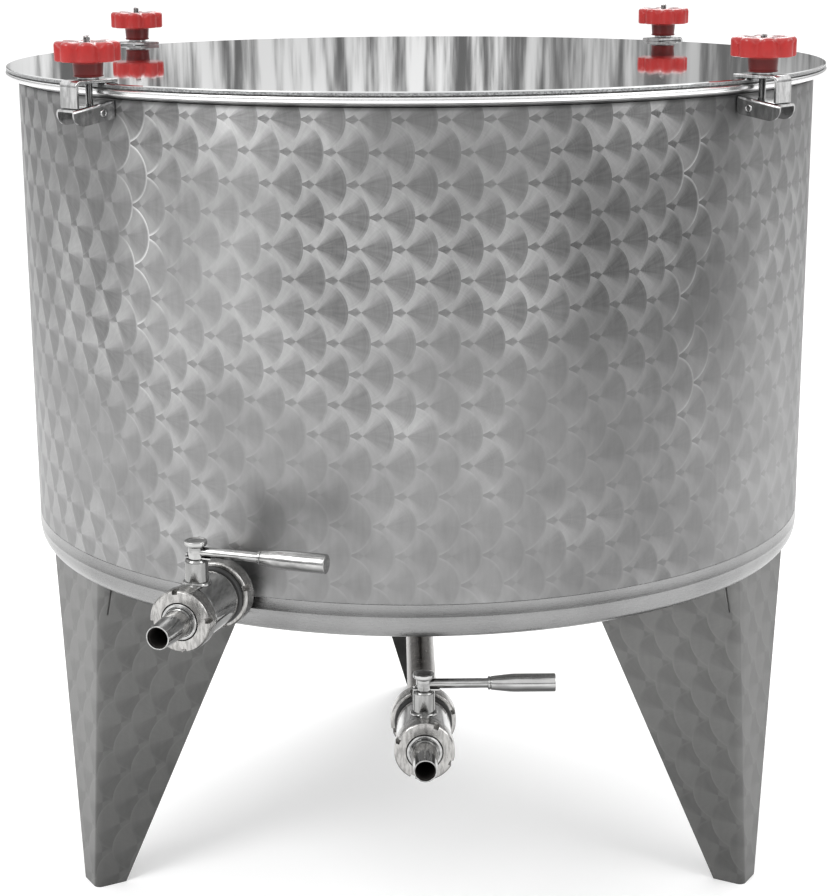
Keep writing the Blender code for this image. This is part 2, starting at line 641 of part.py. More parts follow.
def make_drain(tank):
    """Pipe from the middle of the bottom, bent forward to a valve under the front edge."""
    place = outward(DRAIN_BEARING) * DRAIN_FACE_RADIUS
    place.z = DRAIN_Z
    valve = empty("drain_valve_axis", place, DRAIN_TURN, tank)
    make_valve("drain", valve)
    path = [(0.0, bottom_height(DRAIN_PIPE_RADIUS) - 2 * GAP)]
    bend_centre = (-DRAIN_BEND_RADIUS, DRAIN_Z + DRAIN_BEND_RADIUS)
    path += arc(bend_centre, DRAIN_BEND_RADIUS, 0, -90, DRAIN_BEND_STEPS)
    path.append((-(DRAIN_FACE_RADIUS - PIPE_MEET_BACK), DRAIN_Z))
    shape = bmesh.new()
    rings = []
    for index, (y, z) in enumerate(path):
        before = Vector(path[max(index - 1, 0)])
        after = Vector(path[min(index + 1, len(path) - 1)])
        heading = (after - before).normalized()
        if index in (0, 1):
            heading = Vector((0.0, -1.0))
        if index >= len(path) - 2:
            heading = Vector((-1.0, 0.0))
        across = Vector((-heading.y, heading.x))
        pair = []
        for radius in (DRAIN_PIPE_RADIUS, DRAIN_PIPE_RADIUS - DRAIN_PIPE_WALL):
            ring = []
            for i in range(ROUND_SEGMENTS):
                turn = math.tau * i / ROUND_SEGMENTS
                side = radius * math.cos(turn)
                lift = radius * math.sin(turn)
                ring.append(shape.verts.new((side, y + across.x * lift, z + across.y * lift)))
            pair.append(ring)
        rings.append(pair)
    for (outer_a, inner_a), (outer_b, inner_b) in zip(rings, rings[1:]):
        for a, b in ((outer_a, outer_b), (inner_b, inner_a)):
            for i in range(ROUND_SEGMENTS):
                j = (i + 1) % ROUND_SEGMENTS
                shape.faces.new((a[i], a[j], b[j], b[i]))
    for outer, inner in (rings[0], rings[-1]):
        for i in range(ROUND_SEGMENTS):
            j = (i + 1) % ROUND_SEGMENTS
            shape.faces.new((outer[i], outer[j], inner[j], inner[i]))
    pipe = link("drain_pipe", mesh_from("drain_pipe", shape), plain_steel(), tank)
    pipe.rotation_euler.z = DRAIN_TURN


def main():
    clear_scene()
    tank = empty("tank_axis", (0.0, TANK_Y, 0.0))
    make_shell(tank)
    make_bottom(tank)
    make_rim(tank)
    make_gasket(tank)
    make_lid(tank)
    for side in LEG_BEARINGS:
        make_leg(side, tank)
        make_gusset(side, tank)
    for side in CLAMP_BEARINGS:
        make_clamp(side, tank)
    make_side_outlet(tank)
    make_drain(tank)


main()
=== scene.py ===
"""Looks of the maceration tank: smooth skins, finishes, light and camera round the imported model.

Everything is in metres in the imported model's frame.  The tank's own axis is upright at
(0, TANK_Y); shapes are worked out in the tank's frame, where that axis is x = y = 0, the
front faces -Y, and bearings are degrees from the front, positive towards +X.
"""
import math

import bmesh
import bpy
import numpy as np
from mathutils import Matrix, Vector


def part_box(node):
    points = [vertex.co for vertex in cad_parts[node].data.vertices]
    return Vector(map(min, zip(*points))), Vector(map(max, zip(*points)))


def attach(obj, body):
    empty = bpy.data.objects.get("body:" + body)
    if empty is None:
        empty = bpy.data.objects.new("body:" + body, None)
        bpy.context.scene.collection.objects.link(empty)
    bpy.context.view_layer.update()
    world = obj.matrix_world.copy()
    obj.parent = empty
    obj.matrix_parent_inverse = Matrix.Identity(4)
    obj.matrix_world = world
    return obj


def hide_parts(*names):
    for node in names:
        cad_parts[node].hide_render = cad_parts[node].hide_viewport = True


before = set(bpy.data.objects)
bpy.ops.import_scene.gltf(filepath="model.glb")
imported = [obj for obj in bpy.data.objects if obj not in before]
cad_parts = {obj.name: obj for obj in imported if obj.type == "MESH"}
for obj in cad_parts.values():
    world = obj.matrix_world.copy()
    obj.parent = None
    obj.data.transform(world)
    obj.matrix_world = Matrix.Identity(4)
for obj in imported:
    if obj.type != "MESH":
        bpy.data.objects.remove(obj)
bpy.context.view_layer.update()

FULL_TURN = 2 * math.pi
LID_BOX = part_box("lid")
TANK_Y = (LID_BOX[0].y + LID_BOX[1].y) / 2

# Tank, rim and lid
TANK_RADIUS = 0.500
WALL = 0.002
SHELL_FOOT_Z = 0.4706
SHELL_TOP_Z = 1.0176
KNUCKLE_RADIUS = 0.0246
KNUCKLE_Z = 0.4508
CONE_SLOPE = 0.194
DRAIN_HOLE_RADIUS = 0.016
WELD_LINE_Z = 0.4554
RIM_RADIUS = 0.5155
RIM_TOP_Z = 1.0300
RIM_INNER_RADIUS = 0.4960
RIM_NECK_RADIUS = 0.5075
RIM_BEAD_HEIGHT = 0.0072
GASKET_RADIUS = 0.5115
GASKET_TOP_Z = 1.0334
LID_RADIUS = 0.5146
LID_TOP_Z = 1.0357
LID_LIP_Z = 1.0313
LID_SHEET = 0.0020

# Legs
LEG_SHEET = 0.003
LEG_FOLD_RADIUS = 0.009
LEG_APEX_RADIUS = 0.481
LEG_LEAN = 0.055
INNER_WING = (0.041, 0.457)
OUTER_WING = (0.0387, 0.286)
LEG_TOP_GAP = 0.0006
LEG_BEARINGS = {"front_left": -60.0, "front_right": 60.0, "rear": 177.6}
LEG_HANDS = {"front_left": -1, "front_right": 1, "rear": 1}

# Ground discs of the shell sheet
DISC_START = 0.01273
DISC_STEP = 0.0243
ROW_START = 0.9024
ROW_PITCH = 0.03416
DISC_RADIUS = 0.0345
SHELL_GREY = (0.29, 0.29, 0.29)
LEG_GREY = (0.30, 0.30, 0.295)
# Painted light on each leg, as shade factors for its outer and inner wing; the rear leg is painted darkest, for the
# shade it stands in.
LEG_PAINTED_LIGHT = {"front_left": (0.60, 0.50), "front_right": (0.47, 0.57), "rear": (0.14, 0.07)}

# Clamps and knobs
CLAMP_BEARINGS = {"front_left": -43.5, "front_right": 47.4, "rear_right": 136.6, "rear_left": 229.8}
CLAMP_WIDTH = 0.029
STUD_PLACE = 0.523
STUD_RADIUS = 0.0043
STUD_TOPS = {"front_left": 1.0872, "front_right": 1.0838, "rear_right": 1.0870, "rear_left": 1.0880}
LOBE_TURNS = {"front_left": -15.1, "front_right": 19.9, "rear_right": 25.7, "rear_left": 19.9}
STRAP_INNER = 0.494
STRAP_OUTER = 0.552
STRAP_THICKNESS = 0.004
JAW_INNER = 0.501
JAW_OUTER = 0.557
JAW_INNER_TOP_Z = 1.0165
JAW_OUTER_TOP_Z = 1.0087
JAW_HEIGHT = 0.020
JAW_SHEET = 0.0025
WHEEL_RADIUS = 0.0364
WHEEL_LOBES = 8
HUB_RADIUS = 0.0170
HUB_HEIGHT = 0.0168
WHEEL_HEIGHT = 0.0220
WASHER_THICKNESS = 0.0022

# Valves
SIDE_FACE = (-24.05, 0.6311, 0.4784)
SIDE_TURN = -18.57
DRAIN_FACE = (0.73, 0.4857, 0.2888)
DRAIN_TURN = 0.73
NUT_LENGTH = 0.021
FRONT_NUT_RADIUS = 0.0348
FRONT_NUT_BORE = 0.0210
SLOT_TURNS = {"side": (-8.0, -18.0), "drain": (24.0, -18.0)}
REAR_NUT_RADIUS = 0.0388
REAR_NUT_BORE = 0.0245
REAR_NUT_BACK = 0.1155
SLOT_WIDTH = 0.0065
SLOT_DEPTH = 0.0042
SLOT_REACH = 0.0105
BODY_RADIUS = 0.032
SEAL_RADIUS = 0.034
SEAL_LENGTH = 0.006
STEM_BACK = 0.0484
TAIL_REACH = 0.0543
TAIL_TIP_RADIUS = 0.0132
TAIL_ROOT_RADIUS = 0.0165
TAIL_COLLAR_RADIUS = 0.0203
TAIL_WALL = 0.0015
HOUSING_RADIUS = 0.0128
HOUSING_TOP = 0.0575
NECK_RADIUS = 0.0088
CAP_RADIUS = 0.0124
CAP_BOTTOM = 0.0722
CAP_TOP = 0.0784
ROD_HEIGHT = 0.0652
ROD_RADIUS = 0.0057
GRIP_START = 0.0740
GRIP_CONE = 0.0280
GRIP_END = 0.1520
GRIP_RADIUS = 0.0107
STUB_RADIUS = 0.0205
PIPE_MEET_BACK = 0.1035
PIPE_RADIUS = 0.0178
PIPE_WALL = 0.0016
PIPE_BEND = 0.045


def grid(points, close_rows=False, close_columns=False):
    """Corners and quads of a surface sampled on rows and columns of two parameters."""
    rows, columns = points.shape[:2]
    index = np.arange(rows * columns).reshape(rows, columns)
    if close_rows:
        index = np.vstack([index, index[:1]])
    if close_columns:
        index = np.hstack([index, index[:, :1]])
    quads = np.stack([index[:-1, :-1], index[:-1, 1:], index[1:, 1:], index[1:, :-1]], axis=-1)
    return points.reshape(-1, 3), quads.reshape(-1, 4).tolist()


def plate(ring):
    """One flat face inside a ring of points."""
    return ring, [list(range(len(ring)))]


def eased(corners, sizes, steps=4, closed=True):
    """Outline with eased corners: near corner C the line follows the quadratic curve
    (1-t)^2 A + 2t(1-t) C + t^2 B, where A and B lie on the two sides, sizes away from C.
    An open outline keeps its two end points as they are."""
    corner = np.asarray(corners, float)
    size = np.broadcast_to(np.asarray(sizes, float), len(corner))[:, None]
    before = np.roll(corner, 1, axis=0) - corner
    after = np.roll(corner, -1, axis=0) - corner
    back, ahead = (side / np.maximum(np.linalg.norm(side, axis=1, keepdims=True), 1e-9)
                   for side in (before, after))
    start, end = corner + back * size, corner + ahead * size
    t = np.linspace(0.0, 1.0, steps + 1)[None, :, None]
    curve = (1 - t) ** 2 * start[:, None] + 2 * t * (1 - t) * corner[:, None] + t ** 2 * end[:, None]
    if closed:
        return curve.reshape(-1, corner.shape[1])
    return np.vstack([corner[:1], curve[1:-1].reshape(-1, corner.shape[1]), corner[-1:]])


def turned(outline, segments=96, closed=True):
    """Outline of (radius, height) carried round the upright axis:
    the point at angle a is (radius cos a, radius sin a, height)."""
    outline = np.asarray(outline, float)
    angle = np.arange(segments) * FULL_TURN / segments
    radius, height = outline[:, :1], outline[:, 1:]
    points = np.stack([radius * np.cos(angle), radius * np.sin(angle), height + 0 * angle], axis=-1)
    return grid(points, close_rows=closed, close_columns=True)


def along_path(section, path):
    """Section ring of (across, off) carried along a path of (outward, height): every ring point
    lies off along the path's normal and across at a right angle to the path's plane."""
    section, path = np.asarray(section, float), np.asarray(path, float)
    ahead = np.gradient(path, axis=0)
    ahead /= np.linalg.norm(ahead, axis=1, keepdims=True)
    normal = np.stack([-ahead[:, 1], ahead[:, 0]], axis=1)
    place = path[:, None] + normal[:, None] * section[None, :, 1:]
    points = np.stack([place[..., 0], section[None, :, 0] + 0 * place[..., 0], place[..., 1]], axis=-1)
    return [grid(points, close_columns=True), plate(points[0]), plate(points[-1])]


def moved(surfaces, change):
    """The same surfaces with their points passed through a change."""
    return [(change(points), faces) for points, faces in surfaces]


def turned_about(bearing, place=(0.0, 0.0, 0.0)):
    """Change that turns points about the upright axis, then carries them to a place."""
    angle = math.radians(bearing)
    spin = np.array([[math.cos(angle), -math.sin(angle), 0.0],
                     [math.sin(angle), math.cos(angle), 0.0], [0.0, 0.0, 1.0]])
    return lambda points: points @ spin.T + np.asarray(place)


def piece(name, surfaces, finish, stands_for=(), body="tank", sharp=32.0):
    """Mesh made of surfaces in the tank's frame, joined where they meet, with faces outwards."""
    corners = np.concatenate([points for points, _ in surfaces])
    corners = corners + np.array([0.0, TANK_Y, 0.0])
    faces, first = [], 0
    for points, some in surfaces:
        faces += [[corner + first for corner in face] for face in some]
        first += len(points)
    mesh = bpy.data.meshes.new(name)
    mesh.from_pydata(corners, [], faces)
    work = bmesh.new()
    work.from_mesh(mesh)
    bmesh.ops.remove_doubles(work, verts=work.verts, dist=2e-6)
    bmesh.ops.dissolve_degenerate(work, edges=work.edges, dist=1e-7)
    bmesh.ops.recalc_face_normals(work, faces=work.faces)
    work.to_mesh(mesh)
    work.free()
    mesh.materials.append(finish)
    mesh.shade_smooth()
    mesh.set_sharp_from_angle(angle=math.radians(sharp))
    made = bpy.data.objects.new(name, mesh)
    bpy.context.scene.collection.objects.link(made)
    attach(made, body)
    if stands_for:
        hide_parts(*stands_for)
    return made


class Reading:
    """A socket of a material; arithmetic on it adds Math nodes."""

    def __init__(self, tree, socket):
        self.tree = tree
        self.socket = socket

    def math(self, operation, *values, clamped=False):
        made = self.tree.node("ShaderNodeMath", {"operation": operation, "use_clamp": clamped},
                              dict(enumerate(values)))
        return made[0]

    def __add__(self, other):
        return self.math("ADD", self, other)

    def __sub__(self, other):
        return self.math("SUBTRACT", self, other)

    def __rsub__(self, other):
        return self.math("SUBTRACT", other, self)

    def __mul__(self, other):
        return self.math("MULTIPLY", self, other)

    def __truediv__(self, other):
        return self.math("DIVIDE", self, other)

    def __rtruediv__(self, other):
        return self.math("DIVIDE", other, self)

    def __pow__(self, other):
        return self.math("POWER", self, other)

    def __mod__(self, other):
        return self.math("FLOORED_MODULO", self, other)

    def __gt__(self, other):
        return self.math("GREATER_THAN", self, other)

    def __lt__(self, other):
        return self.math("LESS_THAN", self, other)

    def __neg__(self):
        return self.math("MULTIPLY", self, -1.0)

    def __abs__(self):
        return self.math("ABSOLUTE", self)

    __radd__ = __add__
    __rmul__ = __mul__

    def sine(self):
        return self.math("SINE", self)

    def cosine(self):
        return self.math("COSINE", self)

    def root(self):
        return self.math("SQRT", self)

    def most(self, other):
        return self.math("MAXIMUM", self, other)

    def held(self):
        """Held between 0 and 1."""
        return self.math("ADD", self, 0.0, clamped=True)

    def rise(self, low, high):
        """0 below low, 1 above high, and a smooth step between."""
        made = self.tree.node("ShaderNodeMapRange", {"interpolation_type": "SMOOTHSTEP"},
                              {0: self, 1: low, 2: high, 3: 0.0, 4: 1.0})
        return made[0]


class Made:
    """A node just made; its outputs are read by name or number."""

    def __init__(self, tree, node):
        self.tree = tree
        self.node_made = node

    def __getitem__(self, key):
        return Reading(self.tree, self.node_made.outputs[key])


class Tree:
    """A node tree being filled."""

    def __init__(self, node_tree):
        self.node_tree = node_tree

    def node(self, kind, settings=None, sockets=None):
        """Add a node: its settings first, then a value or a link for each named socket."""
        made = self.node_tree.nodes.new(kind)
        for name, value in (settings or {}).items():
            if name == "stops":
                ramp = made.color_ramp
                while len(ramp.elements) < len(value):
                    ramp.elements.new(0.5)
                for element, (place, colour) in zip(ramp.elements, value):
                    element.position = place
                    element.color = (*colour, 1.0)
            else:
                setattr(made, name, value)
        for name, value in (sockets or {}).items():
            self.feed(made.inputs[name], value)
        return Made(self, made)

    def feed(self, socket, value):
        if isinstance(value, Reading):
            self.node_tree.links.new(value.socket, socket)
        elif isinstance(value, (tuple, list)) and len(value) == 3 and socket.type == "RGBA":
            socket.default_value = (*value, 1.0)
        else:
            socket.default_value = value

    def mix(self, factor, first, second):
        """Colour that goes from first to second."""
        return self.node("ShaderNodeMix", {"data_type": "RGBA"}, {0: factor, 6: first, 7: second})[2]

    def place(self):
        """Object coordinates as three readings, with the tank's own axis at x = y = 0."""
        where = self.node("ShaderNodeTexCoord")["Object"]
        parts = self.node("ShaderNodeSeparateXYZ", None, {0: where})
        return where, parts["X"], parts["Y"] - TANK_Y, parts["Z"]

    def noise(self, where, scale, detail=3.0, roughness=0.5, stretch=(1.0, 1.0, 1.0)):
        """Cloudy value about 0.5, with the place stretched along each axis first."""
        placed = self.node("ShaderNodeMapping", None, {"Vector": where, "Scale": stretch})["Vector"]
        made = self.node("ShaderNodeTexNoise", None, {"Vector": placed, "Scale": scale,
                                                      "Detail": detail, "Roughness": roughness})
        return made["Fac"] if "Fac" in made.node_made.outputs else made[0]

    def angle(self, across, along):
        """Angle of a direction, from its two parts."""
        return self.node("ShaderNodeMath", {"operation": "ARCTAN2"}, {0: across, 1: along})[0]

    def ceiling(self, value):
        """The next whole number up."""
        return self.node("ShaderNodeMath", {"operation": "CEIL"}, {0: value})[0]

    def vector(self, x, y, z=0.0):
        """Three numbers as one vector."""
        return self.node("ShaderNodeCombineXYZ", None, {0: x, 1: y, 2: z})[0]

    def tint(self, colour, shade):
        """The colour made lighter or darker by a factor."""
        return self.node("ShaderNodeVectorMath", {"operation": "SCALE"}, {0: colour, "Scale": shade})[0]


class Finish(Tree):
    """A material with one Principled shader."""

    def __init__(self, name, colour, metallic, roughness, **constants):
        self.material = bpy.data.materials.new(name)
        self.material.use_nodes = True
        super().__init__(self.material.node_tree)
        self.shader = self.node_tree.nodes["Principled BSDF"]
        self.set("Base Color", colour)
        self.set("Metallic", metallic)
        self.set("Roughness", roughness)
        for socket, value in constants.items():
            self.set(socket.replace("_", " "), value)

    def set(self, socket, value):
        self.feed(self.shader.inputs[socket], value)

    def bump(self, height, distance, strength=1.0):
        made = self.node("ShaderNodeBump", None,
                         {"Height": height, "Distance": distance, "Strength": strength})
        self.set("Normal", made["Normal"])


def turned_discs(finish, around, z):
    """Parts across and up from the centre of the disc that shows at a point, and its column.

    Disc centres stand on a staggered lattice, DISC_STEP apart across and 2 ROW_PITCH apart up,
    every second column raised by ROW_PITCH.  Each disc laps those to its right, so the one
    that shows is the first from the left that holds the point."""
    first = finish.ceiling((around - DISC_START - DISC_RADIUS) / DISC_STEP)
    shown = None
    for later in (2.0, 1.0, 0.0):
        column = first + later
        across = around - DISC_START - column * DISC_STEP
        lift = (column % 2.0) * ROW_PITCH
        up = (z - ROW_START - lift + ROW_PITCH) % (2 * ROW_PITCH) - ROW_PITCH
        if shown is None:
            shown = across, up, column
        else:
            inside = (across * across + up * up) < DISC_RADIUS ** 2
            shown = [new * inside + old * (1.0 - inside)
                     for new, old in zip((across, up, column), shown)]
    return shown


def disc_tone(finish, around, z, tilt):
    """Lightness, about 0, that a ground disc adds: the disc pattern with a painted sheen.  A fan either side of the
    tilt's direction is painted dark, a painted sheen for the way the circular grooves reflect light; the rest is
    painted light, with fine spokes and rings, a paler edge that is a faint painted highlight, and each disc a little
    lighter or darker than the next.  The edge comes too."""
    across, up, column = turned_discs(finish, around, z)
    reach = (across * across + up * up).root() / DISC_RADIUS
    way = finish.angle(up, across)
    own = ((column * 12.9 + (z - up) * 800.0).sine() * 3.7).sine()
    # Painted sheen: dark fans either side of the tilt's direction, light between.
    fan = ((way - tilt + own * 0.12) * 2.0).cosine().rise(-0.45, 0.85)
    spokes = finish.node("ShaderNodeTexNoise", {"noise_dimensions": "2D"},
                         {"Vector": finish.vector(way * 3.0 + column * 5.3, (z - up) * 90.0 + reach * 0.8),
                          "Scale": 2.2, "Detail": 3.0})[0]
    rings = finish.node("ShaderNodeTexNoise", {"noise_dimensions": "1D"},
                        {"W": reach * 20.0 + column, "Scale": 1.0, "Detail": 1.0})[0]
    edge = reach.rise(0.90, 0.99)
    return 0.45 - fan + (spokes - 0.5) * 0.6 + (rings - 0.5) * 0.25 + own * 0.14, edge


def hump(value, middle, reach):
    """1 at the middle, falling smoothly to 0 at the reach either side of it."""
    away = (value - middle) / reach
    return (1.0 - away * away).held()


def turned_steel():
    """Shell sheet ground in overlapping discs, with painted light.  The dark direction of the discs' painted sheen
    leans at the left, the sheet is cloudy, with a painted pale reflection at the left, painted shade at the right, at
    both flanks and towards the foot, a painted shadow just under the rim, and two narrow upright bands have painted
    glints on the disc edges."""
    finish = Finish("turned_steel", SHELL_GREY, 1.0, 0.40)
    where, x, y, z = finish.place()
    bearing = finish.angle(x, -y)
    # Direction of the painted sheen's dark fans, leaning with the bearing.
    tilt = bearing.rise(-0.82, -0.60) * 0.68 + bearing.rise(0.22, 0.48) * 0.25 - 0.70
    tone, edge = disc_tone(finish, bearing * TANK_RADIUS, z, tilt)
    cloud = finish.noise(where, 5.0, 2.0)
    patch = finish.noise(where, 14.0, 3.0)
    grain = finish.noise(where, 160.0, 2.0, stretch=(1.0, 1.0, 0.2))
    # Painted light: the sheet is painted lighter higher up and darker towards the foot.
    high = z.rise(0.55, 0.92)
    # Painted reflection: a pale hazy patch at the left.
    haze = hump(bearing, -0.52, 0.26) * hump(z, 0.84, 0.15)
    # Painted shade: a darker zone at the right.
    dark = bearing.rise(0.10, 0.45) - bearing.rise(0.62, 0.98) * 0.8
    # Painted shade at both flanks.
    painted_flank_shade = bearing.rise(1.05, 1.30) - bearing.rise(1.7, 2.3) + hump(bearing, -1.35, 0.35) * 0.5
    strength = (0.13 + z.rise(0.58, 0.90) * 0.46 + (cloud - 0.5) * 1.4 + (patch - 0.5) * 0.8).most(0.08)
    strength = strength * (1.0 - haze * 0.6) * (1.0 - bearing.rise(0.55, 0.8) * 0.5)
    # Painted glints: bright disc edges in two narrow upright bands.
    painted_glint = (hump(bearing, -0.66, 0.07) + hump(bearing, 0.66, 0.08)) * high * patch.rise(0.35, 0.6)
    shade = 1.0 + tone * strength + edge * (painted_glint * 1.1 + 0.10)
    shade = shade + (cloud - 0.5) * 0.6 + (patch - 0.5) * 0.6 + (grain - 0.5) * 0.2
    shade = shade * (0.84 + high * 0.18 + haze * 0.22) * (1.0 - dark * (0.26 + high * 0.24)) * (1.0 - painted_flank_shade * 0.45)
    # Painted shadow: a dark band on the shell just under the rim.
    shade = shade * (1.0 - z.rise(SHELL_TOP_Z - 0.0050, SHELL_TOP_Z - 0.0006) * 0.45)
    finish.set("Base Color", finish.tint(SHELL_GREY, shade))
    finish.set("Roughness", 0.40 - tone * 0.04 + (grain - 0.5) * 0.06)
    return finish.material


def plain_steel(name, dark, light, stretch=(1.0, 1.0, 14.0)):
    """Smooth sheet between two greys, cloudy, with a fine grain along the way it was rolled."""
    finish = Finish(name, light, 1.0, 0.26)
    where, x, y, z = finish.place()
    grain = finish.noise(where, 90.0, 2.0, stretch=stretch)
    cloud = finish.noise(where, 9.0, 3.0)
    finish.set("Roughness", 0.20 + grain * 0.10 + cloud * 0.06)
    finish.set("Base Color", finish.mix((cloud + (grain - 0.5) * 0.4).held(), dark, light))
    return finish.material


def rim_steel():
    """Rolled rim: a polished bead made pale by a painted highlight, over a greyer neck with a painted shadow at its
    foot.
    """
    finish = Finish("rim_sheet", (0.60, 0.60, 0.59), 1.0, 0.2)
    where, x, y, z = finish.place()
    cloud = finish.noise(where, 9.0, 3.0)
    speckle = finish.noise(where, 260.0, 2.0)
    # Painted highlight: the bead is painted pale.
    bead = z.rise(RIM_TOP_Z - RIM_BEAD_HEIGHT - 0.0002, RIM_TOP_Z - RIM_BEAD_HEIGHT + 0.0008)
    # Painted shadow: the neck darkens at its foot, where it meets the shell.
    foot = 1.0 - z.rise(SHELL_TOP_Z + 0.0002, SHELL_TOP_Z + 0.0016)
    shade = (0.48 + bead * 0.62 - foot * 0.30) * (1.0 + (cloud - 0.5) * 0.35 + (speckle - 0.5) * 0.15)
    finish.set("Base Color", finish.tint((0.78, 0.78, 0.78), shade))
    finish.set("Roughness", 0.16 + cloud * 0.10 + (1.0 - bead) * 0.12)
    return finish.material


def leg_steel(side):
    """Leg sheet with soft ground discs and their painted sheen, laid along the folded sheet: the place along it is
    the distance out from the tank's axis plus the distance across.  The inner wing is
    painted darker than the outer one, and darker still towards the foot, as painted shade; each leg has its own painted
    light."""
    finish = Finish("leg_sheet_" + side, LEG_GREY, 1.0, 0.42)
    where, x, y, z = finish.place()
    bearing, hand = math.radians(LEG_BEARINGS[side]), LEG_HANDS[side]
    outward = x * math.sin(bearing) - y * math.cos(bearing)
    across = (x * math.cos(bearing) + y * math.sin(bearing)) * hand
    along = outward + z * LEG_LEAN + across
    tone, edge = disc_tone(finish, along * -hand, z, 0.9 * hand)
    cloud = finish.noise(where, 11.0, 3.0)
    grain = finish.noise(where, 140.0, 2.0, stretch=(1.0, 1.0, 0.25))
    # Painted shade: the inner wing is painted darker, more so towards the foot.
    inner = 1.0 - across.rise(LEG_FOLD_RADIUS * 0.4, LEG_FOLD_RADIUS * 1.1)
    low = 1.0 - z.rise(0.0, 0.45)
    outer_light, inner_light = LEG_PAINTED_LIGHT[side]
    shade = 1.0 + tone * 0.17 + edge * 0.09 + (cloud - 0.5) * 0.5 + (grain - 0.5) * 0.14
    shade = shade * (outer_light + inner * (inner_light - outer_light)) * (1.0 - inner * low * 0.30)
    finish.set("Base Color", finish.tint(LEG_GREY, shade))
    finish.set("Roughness", 0.42 + (cloud - 0.5) * 0.12)
    return finish.material


def mirror_steel():
    """Mirror-bright lid with a rougher turned-down edge, painted dark and speckled as a painted reflection, and a
    rounded pale corner.
    """
    finish = Finish("lid_mirror", (0.80, 0.81, 0.81), 1.0, 0.03)
    where, x, y, z = finish.place()
    haze = finish.noise(where, 6.0, 3.0)
    speckle = finish.noise(where, 420.0, 2.0, 0.8).rise(0.35, 0.65)
    # Painted reflection: the turned-down lip is painted dark grey with speckles; it is also made rougher.
    lip = 1.0 - z.rise(LID_TOP_Z - 0.0022, LID_TOP_Z - 0.0010)
    dull = finish.mix(speckle, (0.16, 0.16, 0.165), (0.42, 0.43, 0.43))
    finish.set("Base Color", finish.mix(lip, (0.80, 0.81, 0.81), dull))
    finish.set("Roughness", 0.02 + haze * 0.03 + lip * 0.35)
    return finish.material


def polished_steel(name, stretch, colour=(0.52, 0.52, 0.515), rough=0.11, patchy=0.3):
    """Polished fitting steel: streaks along the way it was turned, given by the stretch, haze,
    and painted shade on the underside, darker the more the surface faces down."""
    finish = Finish(name, colour, 1.0, rough)
    where, x, y, z = finish.place()
    haze = finish.noise(where, 60.0, 3.0)
    streak = finish.noise(where, 130.0, 3.0, 0.6, stretch).rise(0.36, 0.62)
    # Painted shade: the colour darkens as the surface faces down.
    facing = finish.node("ShaderNodeTexCoord")["Normal"]
    up = finish.node("ShaderNodeSeparateXYZ", None, {0: facing})["Z"]
    shade = (0.20 + up.rise(-0.60, 0.20) * 0.80) * (0.66 + streak * 0.38 + (haze - 0.5) * patchy)
    finish.set("Base Color", finish.tint(colour, shade))
    finish.set("Roughness", rough + (haze - 0.3) * 0.10)
    return finish.material


def bore_shadow_steel():
    """Inside of the tails: a dark sheet that paints the bore's shadow, mottled."""
    finish = Finish("painted_bore_shadow", (0.04, 0.038, 0.036), 0.6, 0.65)
    where, x, y, z = finish.place()
    shadow_mottle = finish.noise(where, 150.0, 3.0)
    finish.set("Base Color", finish.mix(shadow_mottle, (0.012, 0.011, 0.011), (0.06, 0.056, 0.052)))
    return finish.material


def red_plastic():
    """Moulded knob: glossy crown, satin sides, and the hub painted a deeper red as painted shade under the wheel."""
    finish = Finish("red_knob_plastic", (0.36, 0.022, 0.020), 0.0, 0.3, Specular_IOR_Level=0.30,
                    Coat_Roughness=0.08)
    where, x, y, z = finish.place()
    haze = finish.noise(where, 40.0, 3.0)
    mottle = finish.noise(where, 260.0, 2.0)
    wheel = z.rise(1.0555, 1.0605)
    crown = z.rise(1.0770, 1.0800)
    red = finish.mix((haze * 0.7 + mottle * 0.3).held(), (0.26, 0.014, 0.013), (0.42, 0.026, 0.024))
    # Painted shade: the hub below the wheel is painted darker.
    finish.set("Base Color", finish.tint(red, wheel * 0.72 + 0.28))
    finish.set("Coat Weight", crown)
    finish.set("Roughness", 0.28 + haze * 0.14)
    return finish.material


def seal_rubber():
    finish = Finish("seal_rubber", (0.03, 0.03, 0.03), 0.0, 0.6)
    where, x, y, z = finish.place()
    haze = finish.noise(where, 300.0, 2.0)
    finish.set("Roughness", 0.5 + haze * 0.2)
    return finish.material


def gasket_foam():
    finish = Finish("gasket_foam", (0.30, 0.30, 0.30), 0.0, 0.7)
    where, x, y, z = finish.place()
    speckle = finish.noise(where, 420.0, 2.0, 0.8)
    finish.set("Base Color", finish.mix(speckle.rise(0.4, 0.6), (0.16, 0.16, 0.16), (0.55, 0.55, 0.54)))
    finish.bump(speckle, 0.0004, 0.6)
    return finish.material


def bottom_height(radius):
    """Height of the bottom's underside: cone, then the knuckle's quarter circle."""
    inner_edge = TANK_RADIUS - KNUCKLE_RADIUS
    cone = KNUCKLE_Z - KNUCKLE_RADIUS - CONE_SLOPE * (inner_edge - radius)
    across = np.clip(radius - inner_edge, 0.0, KNUCKLE_RADIUS)
    return np.where(radius <= inner_edge, cone, KNUCKLE_Z - np.sqrt(KNUCKLE_RADIUS ** 2 - across ** 2))


